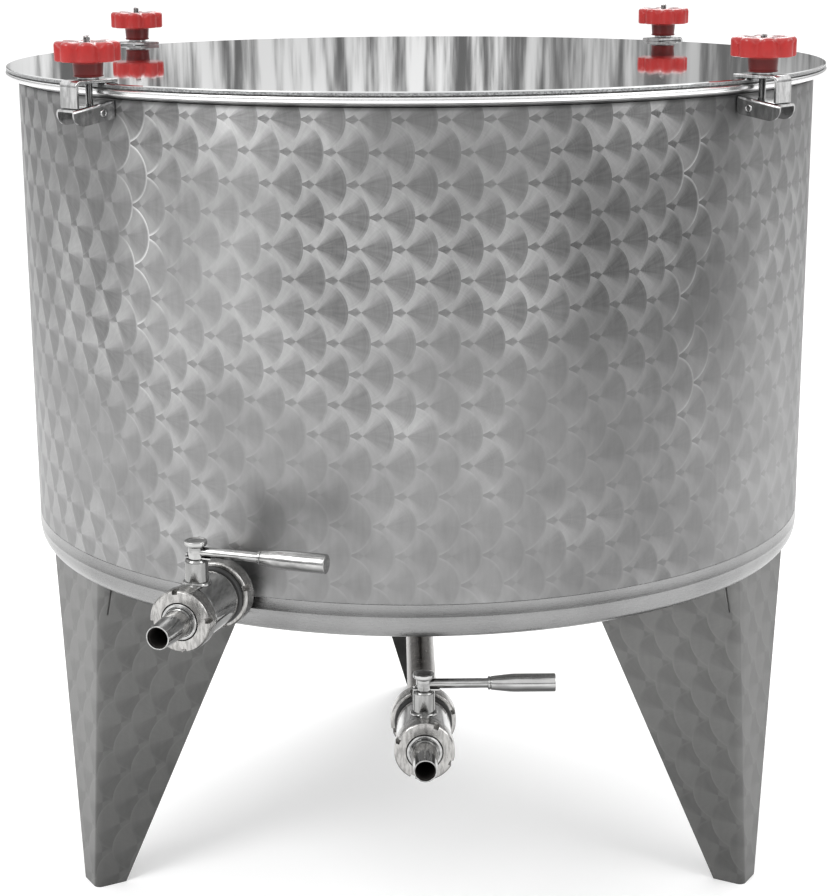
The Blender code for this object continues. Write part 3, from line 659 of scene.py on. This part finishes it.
def make_tank(steel, pressed, sheet):
    """Shell, pressed bottom and rolled rim, each an outline carried round the tank's axis."""
    inner = TANK_RADIUS - WALL
    outline = eased([(TANK_RADIUS, SHELL_TOP_Z), (TANK_RADIUS, SHELL_FOOT_Z), (inner, SHELL_FOOT_Z),
                     (inner, SHELL_TOP_Z)], 0.0004, 2)
    piece("shell_wall", [turned(outline, 288)], steel, ["tank_shell"])

    top = SHELL_FOOT_Z - 0.0003
    turn = np.linspace(0.0, -math.pi / 2, 17)
    knuckle = np.stack([np.cos(turn), np.sin(turn)], axis=1)
    centre = np.array([TANK_RADIUS - KNUCKLE_RADIUS, KNUCKLE_Z])
    outer_arc = centre + knuckle * KNUCKLE_RADIUS
    inner_arc = (centre + knuckle * (KNUCKLE_RADIUS - WALL))[::-1]
    hole = float(bottom_height(np.array(DRAIN_HOLE_RADIUS)))
    outside = [(TANK_RADIUS - 0.0004, top), (TANK_RADIUS, top - 0.0004), (TANK_RADIUS, WELD_LINE_Z + 0.0012),
               (TANK_RADIUS + 0.0004, WELD_LINE_Z + 0.0004), (TANK_RADIUS + 0.0004, WELD_LINE_Z - 0.0004),
               (TANK_RADIUS, WELD_LINE_Z - 0.0012)]
    outline = np.concatenate([outside, outer_arc, [(DRAIN_HOLE_RADIUS, hole), (DRAIN_HOLE_RADIUS, hole + WALL)],
                              inner_arc, [(TANK_RADIUS - WALL, top)]])
    piece("pressed_bottom", [turned(outline, 288)], pressed, ["tank_bottom"])

    foot = SHELL_TOP_Z + 0.0003
    bead_foot = RIM_TOP_Z - RIM_BEAD_HEIGHT
    corners = [(RIM_INNER_RADIUS, RIM_TOP_Z), (RIM_RADIUS, RIM_TOP_Z), (RIM_RADIUS, bead_foot),
               (RIM_NECK_RADIUS, bead_foot), (RIM_NECK_RADIUS - 0.0015, foot + 0.0030),
               (TANK_RADIUS + 0.0012, foot + 0.0012), (TANK_RADIUS - 0.0008, foot), (RIM_INNER_RADIUS, foot)]
    sizes = [0.0005, 0.0030, 0.0030, 0.0015, 0.0012, 0.0004, 0.0003, 0.0005]
    piece("rolled_rim", [turned(eased(corners, sizes, 6), 288)], sheet, ["shell_rim"])


def make_lid(mirror, foam):
    """Flat disc with an eased turned-down lip, on its foam ring."""
    under = LID_TOP_Z - LID_SHEET
    lip = LID_RADIUS - LID_SHEET
    corners = [(LID_RADIUS, LID_TOP_Z), (LID_RADIUS, LID_LIP_Z), (lip, LID_LIP_Z), (lip, under)]
    edge = eased(corners, [0.0016, 0.0006, 0.0006, 0.0004], 6)
    radii = np.linspace(0.0, 1.0, 9)
    top = np.stack([radii * (LID_RADIUS - 0.0016), LID_TOP_Z + 0 * radii], axis=1)
    low = np.stack([radii[::-1] * (lip - 0.0004), under + 0 * radii], axis=1)
    outline = np.concatenate([top, edge[1:-1], low])
    piece("lid_disc", [turned(outline, 288, closed=False)], mirror, ["lid"])

    low, high = RIM_TOP_Z + 0.0003, GASKET_TOP_Z
    corners = [(RIM_INNER_RADIUS, high), (GASKET_RADIUS, high), (GASKET_RADIUS, low),
               (RIM_INNER_RADIUS, low)]
    piece("lid_seal", [turned(eased(corners, 0.0005, 3), 288)], foam, ["lid_gasket"])


def leg_section(height):
    """Folded sheet at each height, as rows of (inward, across): wing, quarter-round fold, wing,
    and the same back along the inner face."""
    height = np.asarray(height, float)[..., None]
    fold = LEG_FOLD_RADIUS
    inner_width = INNER_WING[0] + INNER_WING[1] * height
    outer_width = OUTER_WING[0] + OUTER_WING[1] * height
    turn = np.radians(np.linspace(270.0, 180.0, 9))
    share = np.linspace(0.0, 1.0, 9)[1:]
    inward_wing = inner_width + (fold - inner_width) * np.linspace(0.0, 1.0, 7)[:-1]
    across_wing = fold + (outer_width - fold) * share
    outside = [(inward_wing, 0 * inward_wing),
               (fold + fold * np.cos(turn) + 0 * height, fold + fold * np.sin(turn) + 0 * height),
               (0 * across_wing, across_wing)]
    thin = fold - LEG_SHEET
    inside = [(0 * across_wing + LEG_SHEET, across_wing[..., ::-1]),
              (fold + thin * np.cos(turn[::-1]) + 0 * height, fold + thin * np.sin(turn[::-1]) + 0 * height),
              (inward_wing[..., ::-1], 0 * inward_wing + LEG_SHEET)]
    inward = np.concatenate([part[0] for part in outside + inside], axis=-1)
    across = np.concatenate([part[1] for part in outside + inside], axis=-1)
    return inward, across


def make_leg(side, steel):
    """Folded sheet between the floor and the bottom: rows at shares of each line's own height."""
    hand = LEG_HANDS[side]
    count = leg_section(0.0)[0].shape[-1]
    pick = np.arange(count)

    def at(height):
        inward, across = leg_section(height)
        inward, across = inward[pick, pick], across[pick, pick]
        return np.stack([LEG_APEX_RADIUS - LEG_LEAN * height - inward, across * hand, height], axis=-1)

    top = np.full(count, KNUCKLE_Z - KNUCKLE_RADIUS)
    for _ in range(14):
        place = at(top)
        top = bottom_height(np.hypot(place[:, 0], place[:, 1])) - LEG_TOP_GAP
    rows = np.stack([at(top * share) for share in np.linspace(0.0, 1.0, 13)])
    half = count // 2
    surfaces = [grid(rows, close_columns=True)]
    for ring in (rows[0], rows[-1]):
        strip = np.stack([ring[:half], ring[half:][::-1]])
        surfaces.append(grid(strip))
    change = turned_about(LEG_BEARINGS[side] - 90.0)
    piece("leg_sheet_" + side, moved(surfaces, change), steel, ["leg_" + side])


def make_clamp(side, steel, plastic, stud_steel):
    """Strap, jaw with its rivet, threaded stud and knob, at the clamp's bearing."""
    change = turned_about(CLAMP_BEARINGS[side] - 90.0)
    half = STRAP_THICKNESS / 2
    middle = LID_TOP_Z + 0.0003 + half
    foot = JAW_OUTER_TOP_Z + 0.0015
    reach = STRAP_OUTER - half
    path = eased([(STRAP_INNER, middle), (reach, middle), (reach, foot)], [0.001, 0.0055, 0.001], 10,
                 closed=False)
    section = eased([(-CLAMP_WIDTH / 2, -half), (CLAMP_WIDTH / 2, -half), (CLAMP_WIDTH / 2, half),
                     (-CLAMP_WIDTH / 2, half)], 0.0009, 4)
    piece("clamp_strap_" + side, moved(along_path(section, path), change), steel,
          ["clamp_bridge_" + side])

    width = CLAMP_WIDTH + 0.002
    surfaces = channel(width) + rivet(JAW_INNER + 0.0150, JAW_INNER_TOP_Z - 0.0135, width)
    piece("clamp_channel_" + side, moved(surfaces, change), steel, ["clamp_jaw_" + side])

    seat = LID_TOP_Z + 0.0006 + STRAP_THICKNESS
    place = turned_about(0.0, (STUD_PLACE, 0.0, 0.0))
    nut_top = float(jaw_top(STUD_PLACE)) - JAW_SHEET - 0.0014
    surfaces = [thread(nut_top - 0.0075, STUD_TOPS[side])]
    washer = [(STUD_RADIUS - 0.0006, seat), (0.012, seat), (0.012, seat + WASHER_THICKNESS),
              (STUD_RADIUS - 0.0006, seat + WASHER_THICKNESS)]
    surfaces.append(turned(eased(washer, 0.0005, 3), 48))
    nut = [(STUD_RADIUS - 0.0006, nut_top), (0.0075, nut_top), (0.0075, nut_top - 0.0055),
           (STUD_RADIUS - 0.0006, nut_top - 0.0055)]
    surfaces.append(turned(nut, 6))
    piece("clamp_screw_" + side, moved(moved(surfaces, place), change), stud_steel,
          ["clamp_stud_" + side])

    base = LID_TOP_Z + 0.0009 + STRAP_THICKNESS + WASHER_THICKNESS
    place = turned_about(LOBE_TURNS[side], (STUD_PLACE, 0.0, 0.0))
    piece("knob_" + side, moved(moved([knob_skin(base)], place), change), plastic,
          ["clamp_knob_" + side], body="knob_" + side)


def jaw_top(outward):
    """Height of the jaw's web, which falls evenly outwards."""
    fall = (JAW_INNER_TOP_Z - JAW_OUTER_TOP_Z) / (JAW_OUTER - JAW_INNER)
    return JAW_INNER_TOP_Z - fall * (np.asarray(outward, float) - JAW_INNER)


def channel(width):
    """Bent sheet: an upturned U with quarter-round bends, carried outwards.  The side plates'
    depth is the jaw's height, less a quarter ellipse near the outer end and a smaller one near
    the inner end: height sqrt(1 - (d / reach)^2), with d the distance into the ellipse."""
    out = np.unique(np.concatenate([np.linspace(JAW_INNER, JAW_OUTER, 19),
                                    JAW_OUTER - 0.016 * (1 - np.sin(np.linspace(0, math.pi / 2, 12)))]))
    into = np.clip((out - (JAW_OUTER - 0.016)) / 0.016, 0.0, 1.0)
    inner = np.clip((JAW_INNER + 0.004 - out) / 0.004, 0.0, 1.0)
    bend = 0.0042
    depth = bend + 0.0012 + (JAW_HEIGHT - bend - 0.0012) * np.sqrt(1.0 - into ** 2)
    depth = depth - 0.0022 * (1.0 - np.sqrt(1.0 - inner ** 2))
    turn = np.linspace(0.0, math.pi / 2, 7)

    def line(inset):
        """Half of the U at this distance in from its outer face: from the plate's foot up."""
        radius = bend - inset
        drop = np.stack([depth * share + bend * (1.0 - share) for share in (1.0, 0.97, 0.5)], axis=1)
        arc_drop = bend - radius * np.sin(turn)
        across = np.concatenate([np.full(3, width / 2 - inset), width / 2 - bend + radius * np.cos(turn)])
        down = np.concatenate([drop, np.broadcast_to(arc_drop, (len(out), len(turn)))], axis=1)
        right = np.stack([out[:, None] + 0 * down, across + 0 * down, jaw_top(out)[:, None] - down], axis=-1)
        left = right[:, ::-1] * np.array([1.0, -1.0, 1.0])
        return np.concatenate([right, left], axis=1)

    outside, inside = line(0.0), line(JAW_SHEET)
    ring = np.concatenate([outside, inside[:, ::-1]], axis=1)
    ends = [grid(np.stack([outside[row], inside[row]])) for row in (0, -1)]
    return [grid(ring, close_columns=True)] + ends


def rivet(outward, height, width):
    """Hollow rivet through both plates: each head is a round-topped ring about a low dish."""
    turn = np.linspace(0.0, math.pi, 9)
    ring = np.stack([0.0034 + 0.0012 * np.cos(turn), width / 2 + 0.0012 * np.sin(turn)], axis=1)
    head = np.concatenate([[(0.0, width / 2 + 0.0003), (0.0021, width / 2 + 0.0002)], ring[::-1]])
    other = head[::-1] * np.array([1.0, -1.0])
    outline = np.concatenate([head, [(0.0028, width / 2 - 0.0002), (0.0028, -width / 2 + 0.0002)], other])
    points, faces = turned(outline, 28, closed=False)
    x, y, z = points.T
    return [(np.stack([x + outward, z, y + height], axis=1), faces)]


def thread(low, high):
    """Screw: the radius falls by the thread's depth as a triangle wave of height minus turn."""
    pitch, depth = 0.00125, 0.0007
    height = np.arange(low, high + 1e-6, pitch / 5)[:, None]
    angle = np.arange(20)[None] * FULL_TURN / 20
    wave = np.abs(((height / pitch - angle / FULL_TURN) % 1.0) * 2 - 1)
    ends = np.minimum(1.0, np.minimum(height - low, high - height) / 0.0012)
    radius = (STUD_RADIUS - depth * wave) * (0.8 + 0.2 * ends)
    points = np.stack([radius * np.cos(angle), radius * np.sin(angle), height + 0 * angle], axis=-1)
    closed = np.concatenate([points[:1] * [0, 0, 1], points, points[-1:] * [0, 0, 1]])
    return grid(closed, close_columns=True)


def knob_skin(base):
    """Lobed wheel on a round hub.  At angle a, with d the angle to the nearest hollow and
    h = exp(-(d / spread)^2), each row's radius loses its share of depth times h, and its
    height loses its share of scoop times h, so the crown dips into every hollow."""
    shoulder = base + HUB_HEIGHT
    crown = shoulder + WHEEL_HEIGHT
    bore = STUD_RADIUS + 0.0004
    rim = WHEEL_RADIUS
    outline = np.array([
        (bore, 0, base, 0), (HUB_RADIUS - 0.0010, 0, base, 0), (HUB_RADIUS - 0.0002, 0, base + 0.0006, 0),
        (HUB_RADIUS - 0.0002, 0, base + 0.0017, 0), (HUB_RADIUS - 0.0010, 0, base + 0.0022, 0),
        (HUB_RADIUS, 0, shoulder - 0.0014, 0), (HUB_RADIUS + 0.0014, 0, shoulder, 0),
        (rim - 0.0024, 0.9, shoulder, 0), (rim - 0.0007, 1, shoulder + 0.0006, 0),
        (rim, 1, shoulder + 0.0020, 0), (rim, 1, crown - 0.0100, 0), (rim, 1, crown - 0.0040, 0.75),
        (rim - 0.0004, 1.05, crown - 0.0022, 0.95), (rim - 0.0014, 1.1, crown - 0.0009, 1),
        (rim - 0.0032, 1.0, crown - 0.0001, 0.95), (rim - 0.0060, 0.7, crown, 0.70),
        (rim - 0.0100, 0.3, crown - 0.0002, 0.25), (rim - 0.0140, 0.05, crown - 0.0006, 0.04),
        (0.0110, 0, crown - 0.0008, 0), (0.0095, 0, crown - 0.0016, 0), (bore, 0, crown - 0.0016, 0)], float)
    angle = np.arange(192) * FULL_TURN / 192
    step = FULL_TURN / WHEEL_LOBES
    from_hollow = (angle + step / 2) % step - step / 2
    hollow = np.exp(-(from_hollow / 0.17) ** 2)[None]
    radius = outline[:, :1] - outline[:, 1:2] * hollow * 0.0046
    height = outline[:, 2:3] - outline[:, 3:] * hollow * 0.0052
    points = np.stack([radius * np.cos(angle), radius * np.sin(angle), height + 0 * angle], axis=-1)
    return grid(points, close_rows=True, close_columns=True)


def valve_place(face, turn):
    """Change from a valve's own frame, facing -Y from its front face, to the tank's frame."""
    bearing, reach, height = face
    angle = math.radians(bearing)
    return turned_about(turn, (reach * math.sin(angle), -reach * math.cos(angle), height))


def forward(surface):
    """Turn a shape built up its axis so that it points along -Y."""
    points, faces = surface
    x, y, z = points.T
    return np.stack([x, -z, y], axis=1), faces


def slotted_nut(radius, bore, back, slot_turn):
    """Ring nut: the outline's radius is cut to the slots' floor where the angle lies within
    half a slot's width of a slot's middle and the height lies ahead of the slots' end."""
    front = NUT_LENGTH - back
    end = front - SLOT_REACH
    corners = [(bore, front - 0.0006), (bore + 0.0006, front), (radius - 0.0016, front), (radius, front - 0.0018),
               (radius, end), (radius, end - 2e-5), (radius, -back + 0.0018), (radius - 0.0016, -back),
               (bore, -back)]
    outline = eased(corners, [0.0002, 0.0002, 0.0004, 0.0004, 0, 0, 0.0004, 0.0004, 0.0002], 3)
    half = math.asin(SLOT_WIDTH / 2 / radius)
    middles = np.radians(-slot_turn) + np.arange(4) * FULL_TURN / 4
    edges = (middles[:, None] + half * np.array([-1, -1, 1, 1]) + 1e-5 * np.array([-1, 1, -1, 1])).ravel()
    angle = np.unique(np.round(np.concatenate([np.arange(96) * FULL_TURN / 96, edges % FULL_TURN]), 7))
    from_middle = np.abs((angle[:, None] - middles + math.pi) % FULL_TURN - math.pi).min(axis=1)
    in_slot = from_middle < half
    floor = radius - SLOT_DEPTH
    ahead = outline[:, 1:] > end - 1e-5
    reach = np.where(ahead & in_slot[None], np.minimum(outline[:, :1], floor), outline[:, :1])
    points = np.stack([reach * np.cos(angle), reach * np.sin(angle), outline[:, 1:] + 0 * angle], axis=-1)
    return forward(grid(points, close_rows=True, close_columns=True))


def make_valve(prefix, face, turn, finishes):
    """Ball valve: tail, slotted nuts, seal, body, stem and handle along one axis."""
    along, upright, faced, rubber, dull = (finishes[name] for name in ("along", "upright", "faced",
                                                                      "rubber", "dull"))
    place = valve_place(face, turn)
    front_turn, rear_turn = SLOT_TURNS[prefix]

    def add(name, surfaces, finish, *nodes, body="tank", slot="mirror_steel", sharp=32.0):
        piece(prefix + "_" + name, moved(surfaces, place), finish,
              [prefix + "_" + node for node in nodes], body, sharp)

    add("union_nut", [slotted_nut(FRONT_NUT_RADIUS, FRONT_NUT_BORE, NUT_LENGTH, front_turn)], faced,
        "front_nut")
    add("inlet_nut", [slotted_nut(REAR_NUT_RADIUS, REAR_NUT_BORE, REAR_NUT_BACK, rear_turn)], faced,
        "rear_nut")

    back = -REAR_NUT_BACK + NUT_LENGTH + 0.0003
    corners = [(REAR_NUT_BORE, back + SEAL_LENGTH), (SEAL_RADIUS, back + SEAL_LENGTH),
               (SEAL_RADIUS, back), (REAR_NUT_BORE, back)]
    add("flange_seal", [forward(turned(eased(corners, [0.0003, 0.002, 0.002, 0.0003], 5), 72))], rubber,
        "seal_ring", slot="black_rubber")

    body_back = back + SEAL_LENGTH + 0.0003
    spigot = -PIPE_MEET_BACK + 0.0003
    corners = [(0.0, -NUT_LENGTH - 0.0003), (BODY_RADIUS - 0.002, -NUT_LENGTH - 0.0003),
               (BODY_RADIUS, -NUT_LENGTH - 0.006), (BODY_RADIUS, body_back + 0.003),
               (BODY_RADIUS - 0.001, body_back), (REAR_NUT_BORE - 0.0003, body_back),
               (REAR_NUT_BORE - 0.0003, spigot), (0.0, spigot)]
    outline = eased(corners, [0, 0.001, 0.004, 0.002, 0.0006, 0.0003, 0.0003, 0], 4, closed=False)
    stem_pad = np.array([(0.0, 0.0285), (0.0158, 0.0285), (0.0158, 0.0310), (0.0146, 0.0324), (0.0, 0.0324)])
    lift = np.array([0.0, STEM_BACK, 0.0])
    pad_points, pad_faces = turned(eased(stem_pad, [0, 0.0004, 0.0008, 0.0008, 0], 3, closed=False), 48,
                                   closed=False)
    add("ball_housing", [forward(turned(outline, 96, closed=False)), (pad_points + lift, pad_faces)],
        along, "valve_body")

    inner_root = TAIL_ROOT_RADIUS - TAIL_WALL
    corners = [(TAIL_TIP_RADIUS, TAIL_REACH), (TAIL_ROOT_RADIUS - 0.0004, 0.0016), (TAIL_ROOT_RADIUS, 0.0002),
               (TAIL_ROOT_RADIUS + 0.0010, 0.0008), (TAIL_COLLAR_RADIUS, 0.0006),
               (TAIL_COLLAR_RADIUS, -NUT_LENGTH + 0.0003), (inner_root, -NUT_LENGTH + 0.0003),
               (TAIL_TIP_RADIUS - TAIL_WALL, TAIL_REACH)]
    sizes = [0.0005, 0.0004, 0.0004, 0.0003, 0.0006, 0.0003, 0.0003, 0.0005]
    add("tail_pipe", [forward(turned(eased(corners, sizes, 4), 72))], along, "hose_tail")

    # A dark liner inside the tail, put there to paint the bore's shadow.
    lining = [(TAIL_TIP_RADIUS - TAIL_WALL - 0.0001, TAIL_REACH - 0.0030), (inner_root - 0.0001, -NUT_LENGTH + 0.0030),
              (inner_root - 0.0001, -NUT_LENGTH + 0.0006), (0.0, -NUT_LENGTH + 0.0006),
              (0.0, -NUT_LENGTH + 0.0012), (inner_root - 0.0008, -NUT_LENGTH + 0.0012),
              (TAIL_TIP_RADIUS - TAIL_WALL - 0.0007, TAIL_REACH - 0.0030)]
    points, faces = forward(turned(lining, 48))
    add("bore_lining", [(points, faces)], dull)

    seat = BODY_RADIUS - 0.004
    corners = [(0.0, HOUSING_TOP), (HOUSING_RADIUS - 0.0015, HOUSING_TOP), (HOUSING_RADIUS, HOUSING_TOP - 0.0028),
               (HOUSING_RADIUS, 0.036), (HOUSING_RADIUS, seat), (0.0, seat)]
    outline = eased(corners, [0, 0.001, 0.001, 0.0005, 0.0003, 0], 4, closed=False)
    points, faces = turned(outline, 64, closed=False)
    add("stem_post", [(points + lift, faces)], upright, "stem_housing")
    make_handle(prefix, place, finishes)


def make_handle(prefix, place, finishes):
    """Neck with a dished cap, stop plate with its lug, rod and tapered grip, turning about
    the stem."""
    lift = np.array([0.0, STEM_BACK, 0.0])
    foot = HOUSING_TOP + 0.0003
    corners = [(0.0, CAP_TOP - 0.0014), (CAP_RADIUS - 0.0034, CAP_TOP - 0.0012), (CAP_RADIUS - 0.0020, CAP_TOP),
               (CAP_RADIUS, CAP_TOP - 0.0007), (CAP_RADIUS, CAP_BOTTOM + 0.0014), (CAP_RADIUS - 0.0008, CAP_BOTTOM + 0.0010),
               (CAP_RADIUS - 0.0008, CAP_BOTTOM + 0.0002), (CAP_RADIUS - 0.0020, CAP_BOTTOM),
               (NECK_RADIUS, CAP_BOTTOM - 0.0010), (NECK_RADIUS, foot), (0.0, foot)]
    sizes = [0, 0.0008, 0.0006, 0.0006, 0.0003, 0.0003, 0.0003, 0.0005, 0.0008, 0.0002, 0]
    points, faces = turned(eased(corners, sizes, 4, closed=False), 48, closed=False)
    surfaces = [(points + lift, faces)]
    tab = eased([(-0.0125, -0.0042), (0.0185, -0.0042), (0.0185, 0.0042), (-0.0125, 0.0042)], 0.0012, 3)
    levels = foot + np.array([0.0003, 0.0018])
    rings = np.stack([np.column_stack([tab, np.full(len(tab), level)]) for level in levels]) + lift
    surfaces += [grid(rings, close_columns=True), plate(rings[0]), plate(rings[1])]
    lug = [(0.0, 0.0035), (0.0014, 0.0035), (0.0014, 0.0), (0.0, 0.0)]
    points, faces = turned(eased(lug, [0, 0.0005, 0.0002, 0], 3, closed=False), 20, closed=False)
    surfaces.append((points + lift + np.array([-0.0108, 0.0, levels[1] - 0.0002]), faces))

    rod_end = GRIP_START + 0.020
    rod = [(0.0, 0.0), (ROD_RADIUS, 0.0), (ROD_RADIUS, rod_end), (0.0, rod_end)]
    points, faces = turned(eased(rod, [0, 0.0002, 0.0002, 0], 2, closed=False), 40, closed=False)

    def sideways(points):
        x, y, z = points.T
        return np.stack([z, y + STEM_BACK, ROD_HEIGHT - x], axis=1)

    surfaces.append((sideways(points), faces))
    piece(prefix + "_lever", moved(surfaces, place), finishes["across"], [prefix + "_handle"],
          body=prefix + "_valve_handle")

    bore = ROD_RADIUS + 0.0003
    groove = GRIP_START + 0.0030
    corners = [(bore, GRIP_START), (0.0076, GRIP_START), (0.0079, groove - 0.0006), (0.0069, groove),
               (0.0080, groove + 0.0008), (GRIP_RADIUS, GRIP_START + GRIP_CONE), (GRIP_RADIUS, GRIP_END),
               (0.0, GRIP_END), (0.0, rod_end + 0.0003), (bore, rod_end + 0.0003)]
    sizes = [0.0003, 0.0004, 0.0003, 0.0003, 0.0004, 0.0060, 0.0012, 0, 0, 0.0003]
    outline = eased(corners, sizes, 6, closed=False)
    outline = np.concatenate([outline, outline[:1]])
    points, faces = turned(outline, 64, closed=False)
    piece(prefix + "_grip_sleeve", moved([(sideways(points), faces)], place), finishes["across"],
          [prefix + "_grip"], body=prefix + "_valve_handle")


def make_pipes(polished, sheet):
    """Side stub, whose far end follows the shell's curve, and the bent drain pipe."""
    place = valve_place(SIDE_FACE, SIDE_TURN)
    angle = np.arange(72) * FULL_TURN / 72
    turn = math.radians(SIDE_TURN)
    bearing = math.radians(SIDE_FACE[0])
    face = SIDE_FACE[1] * np.array([math.sin(bearing), -math.cos(bearing)])
    heading = np.array([math.sin(turn), -math.cos(turn)])
    sideways = np.array([math.cos(turn), math.sin(turn)])
    rings = []
    for radius, at_wall in ((STUB_RADIUS, False), (STUB_RADIUS, True), (STUB_RADIUS - TAIL_WALL, True),
                            (STUB_RADIUS - TAIL_WALL, False)):
        across, up = radius * np.cos(angle), radius * np.sin(angle)
        if at_wall:
            foot = face[None] + across[:, None] * sideways
            along = foot @ heading
            clear = TANK_RADIUS + 0.0003
            reach = -along + np.sqrt(along ** 2 - (foot ** 2).sum(axis=1) + clear ** 2)
            back = -reach
        else:
            back = np.full(len(angle), PIPE_MEET_BACK)
        rings.append(np.stack([across, back, up], axis=1))
    piece("side_stub_pipe", moved([grid(np.stack(rings), True, True)], place), polished,
          ["side_outlet_stub"])

    height = DRAIN_FACE[2]
    start = float(bottom_height(np.array(PIPE_RADIUS))) - 0.0006
    bend = np.linspace(0.0, -math.pi / 2, 17)
    centre = np.array([-PIPE_BEND, height + PIPE_BEND])
    path = np.concatenate([[(0.0, start)], centre + PIPE_BEND * np.stack([np.cos(bend), np.sin(bend)], axis=1),
                           [(-(DRAIN_FACE[1] - PIPE_MEET_BACK), height)]])
    heading = np.concatenate([[(0.0, -1.0)], np.stack([np.sin(bend), -np.cos(bend)], axis=1), [(-1.0, 0.0)]])
    across = np.stack([-heading[:, 1], heading[:, 0]], axis=1)
    walls = []
    for radius in (PIPE_RADIUS, PIPE_RADIUS - PIPE_WALL):
        side = radius * np.cos(angle)[None] + 0 * path[:, :1]
        lift = radius * np.sin(angle)[None]
        walls.append(np.stack([side, path[:, :1] + across[:, :1] * lift, path[:, 1:] + across[:, 1:] * lift],
                              axis=-1))
    skin = np.concatenate([walls[0], walls[1][::-1]])
    piece("drain_bend", moved([grid(skin, True, True)], turned_about(DRAIN_TURN)), sheet, ["drain_pipe"])


def make_camera():
    """Camera at the photograph's place, height and tilt."""
    pitch, yaw, roll = (math.radians(value) for value in (14.392, -0.0514, -0.2852))
    ahead = np.array([math.sin(yaw) * math.cos(pitch), math.cos(yaw) * math.cos(pitch), -math.sin(pitch)])
    level = np.array([math.cos(yaw), -math.sin(yaw), 0.0])
    above = np.cross(level, ahead)
    right = math.cos(roll) * level + math.sin(roll) * above
    up = -math.sin(roll) * level + math.cos(roll) * above
    data = bpy.data.cameras.new("camera")
    data.sensor_fit = "HORIZONTAL"
    data.sensor_width = 36.0
    data.lens = 2068.79 / 832 * 36.0
    data.clip_start, data.clip_end = 0.05, 100.0
    camera = bpy.data.objects.new("camera", data)
    bpy.context.scene.collection.objects.link(camera)
    turn = Matrix([[right[i], up[i], -ahead[i]] for i in range(3)]).to_4x4()
    camera.matrix_world = Matrix.Translation((0.0, TANK_Y - 2.6827, 1.2108)) @ turn
    bpy.context.scene.camera = camera


ROOM_LIGHT = 1.08


def make_studio():
    """Near-white floor, three soft lights, and a bright soft room.  Only polished metal sees the
    pale and grey upright bands near the horizon; the backdrop itself is plain."""
    size = 60.0
    corners = np.array([(-size, -size, 0.0), (size, -size, 0.0), (size, size, 0.0), (-size, size, 0.0)])
    mesh = bpy.data.meshes.new("floor")
    mesh.from_pydata(corners, [], [[0, 1, 2, 3]])
    finish = Finish("floor_paint", (0.90, 0.90, 0.90), 0.0, 0.7, Emission_Color=(1.0, 1.0, 1.0), Emission_Strength=0.2)
    mesh.materials.append(finish.material)
    floor = bpy.data.objects.new("floor", mesh)
    bpy.context.scene.collection.objects.link(floor)

    world = bpy.data.worlds.new("studio")
    bpy.context.scene.world = world
    world.use_nodes = True
    tree = Tree(world.node_tree)
    way = tree.node("ShaderNodeTexCoord")["Generated"]
    height = tree.node("ShaderNodeSeparateXYZ", None, {0: way})["Z"]
    broad = tree.noise(way, 5.0, 2.0, 0.5, (1.0, 1.0, 0.25)).rise(0.40, 0.60)
    fine = tree.noise(way, 80.0, 6.0, 0.68, (1.0, 1.0, 0.03)).rise(0.40, 0.60)
    low = 1.0 - height.rise(0.06, 0.38)
    reflected = ROOM_LIGHT - low * (0.94 - fine * (0.34 + broad * 0.46))
    seen = tree.node("ShaderNodeLightPath")["Is Camera Ray"]
    light = reflected + seen * (ROOM_LIGHT - reflected)
    background = world.node_tree.nodes["Background"]
    tree.feed(background.inputs["Color"], tree.tint((1.0, 1.0, 1.0), light))
    background.inputs["Strength"].default_value = 1.0

    for name, place, size, power in (("key", (-2.6, -2.2, 3.2), 2.2, 80.0), ("fill", (2.8, -1.6, 2.4), 2.0, 35.0),
                                     ("back", (0.4, 2.8, 3.4), 2.4, 60.0)):
        data = bpy.data.lights.new(name, "AREA")
        data.shape = "SQUARE"
        data.size = size
        data.energy = power
        light = bpy.data.objects.new(name, data)
        bpy.context.scene.collection.objects.link(light)
        light.location = place
        aim = np.array([0.0, 0.0, 0.6]) - np.array(place)
        light.rotation_euler = (math.acos(-aim[2] / np.linalg.norm(aim)), 0.0, math.atan2(aim[1], aim[0]) - math.pi / 2)
    bpy.context.scene.view_settings.view_transform = "Standard"


def main():
    make_camera()
    make_studio()
    rim = rim_steel()
    pressed = plain_steel("pressed_sheet", (0.17, 0.17, 0.17), (0.34, 0.34, 0.34))
    pipe = polished_steel("drain_pipe_sheet", (0.4, 0.4, 0.02), (0.15, 0.138, 0.126), 0.24, 0.1)
    clamp = polished_steel("clamp_sheet", (1.0, 1.0, 0.3), (0.66, 0.66, 0.66), 0.14)
    finishes = {"along": polished_steel("polished_along", (1.0, 0.12, 1.0)),
                "upright": polished_steel("polished_upright", (1.0, 1.0, 0.12), (0.36, 0.36, 0.355), 0.17),
                "across": polished_steel("polished_across", (0.12, 1.0, 1.0)),
                "faced": polished_steel("faced_nut", (2.5, 2.5, 0.6), (0.47, 0.462, 0.45), 0.24, 0.06),
                "rubber": seal_rubber(), "dull": bore_shadow_steel()}
    plastic, foam = red_plastic(), gasket_foam()
    make_tank(turned_steel(), pressed, rim)
    make_lid(mirror_steel(), foam)
    for side in LEG_BEARINGS:
        leg = leg_steel(side)
        make_leg(side, leg)
        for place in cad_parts["leg_gusset_" + side].material_slots:
            place.material = leg
    for side in CLAMP_BEARINGS:
        make_clamp(side, clamp, plastic, clamp)
    make_valve("side", SIDE_FACE, SIDE_TURN, finishes)
    make_valve("drain", DRAIN_FACE, DRAIN_TURN, finishes)
    make_pipes(finishes["along"], pipe)


main()
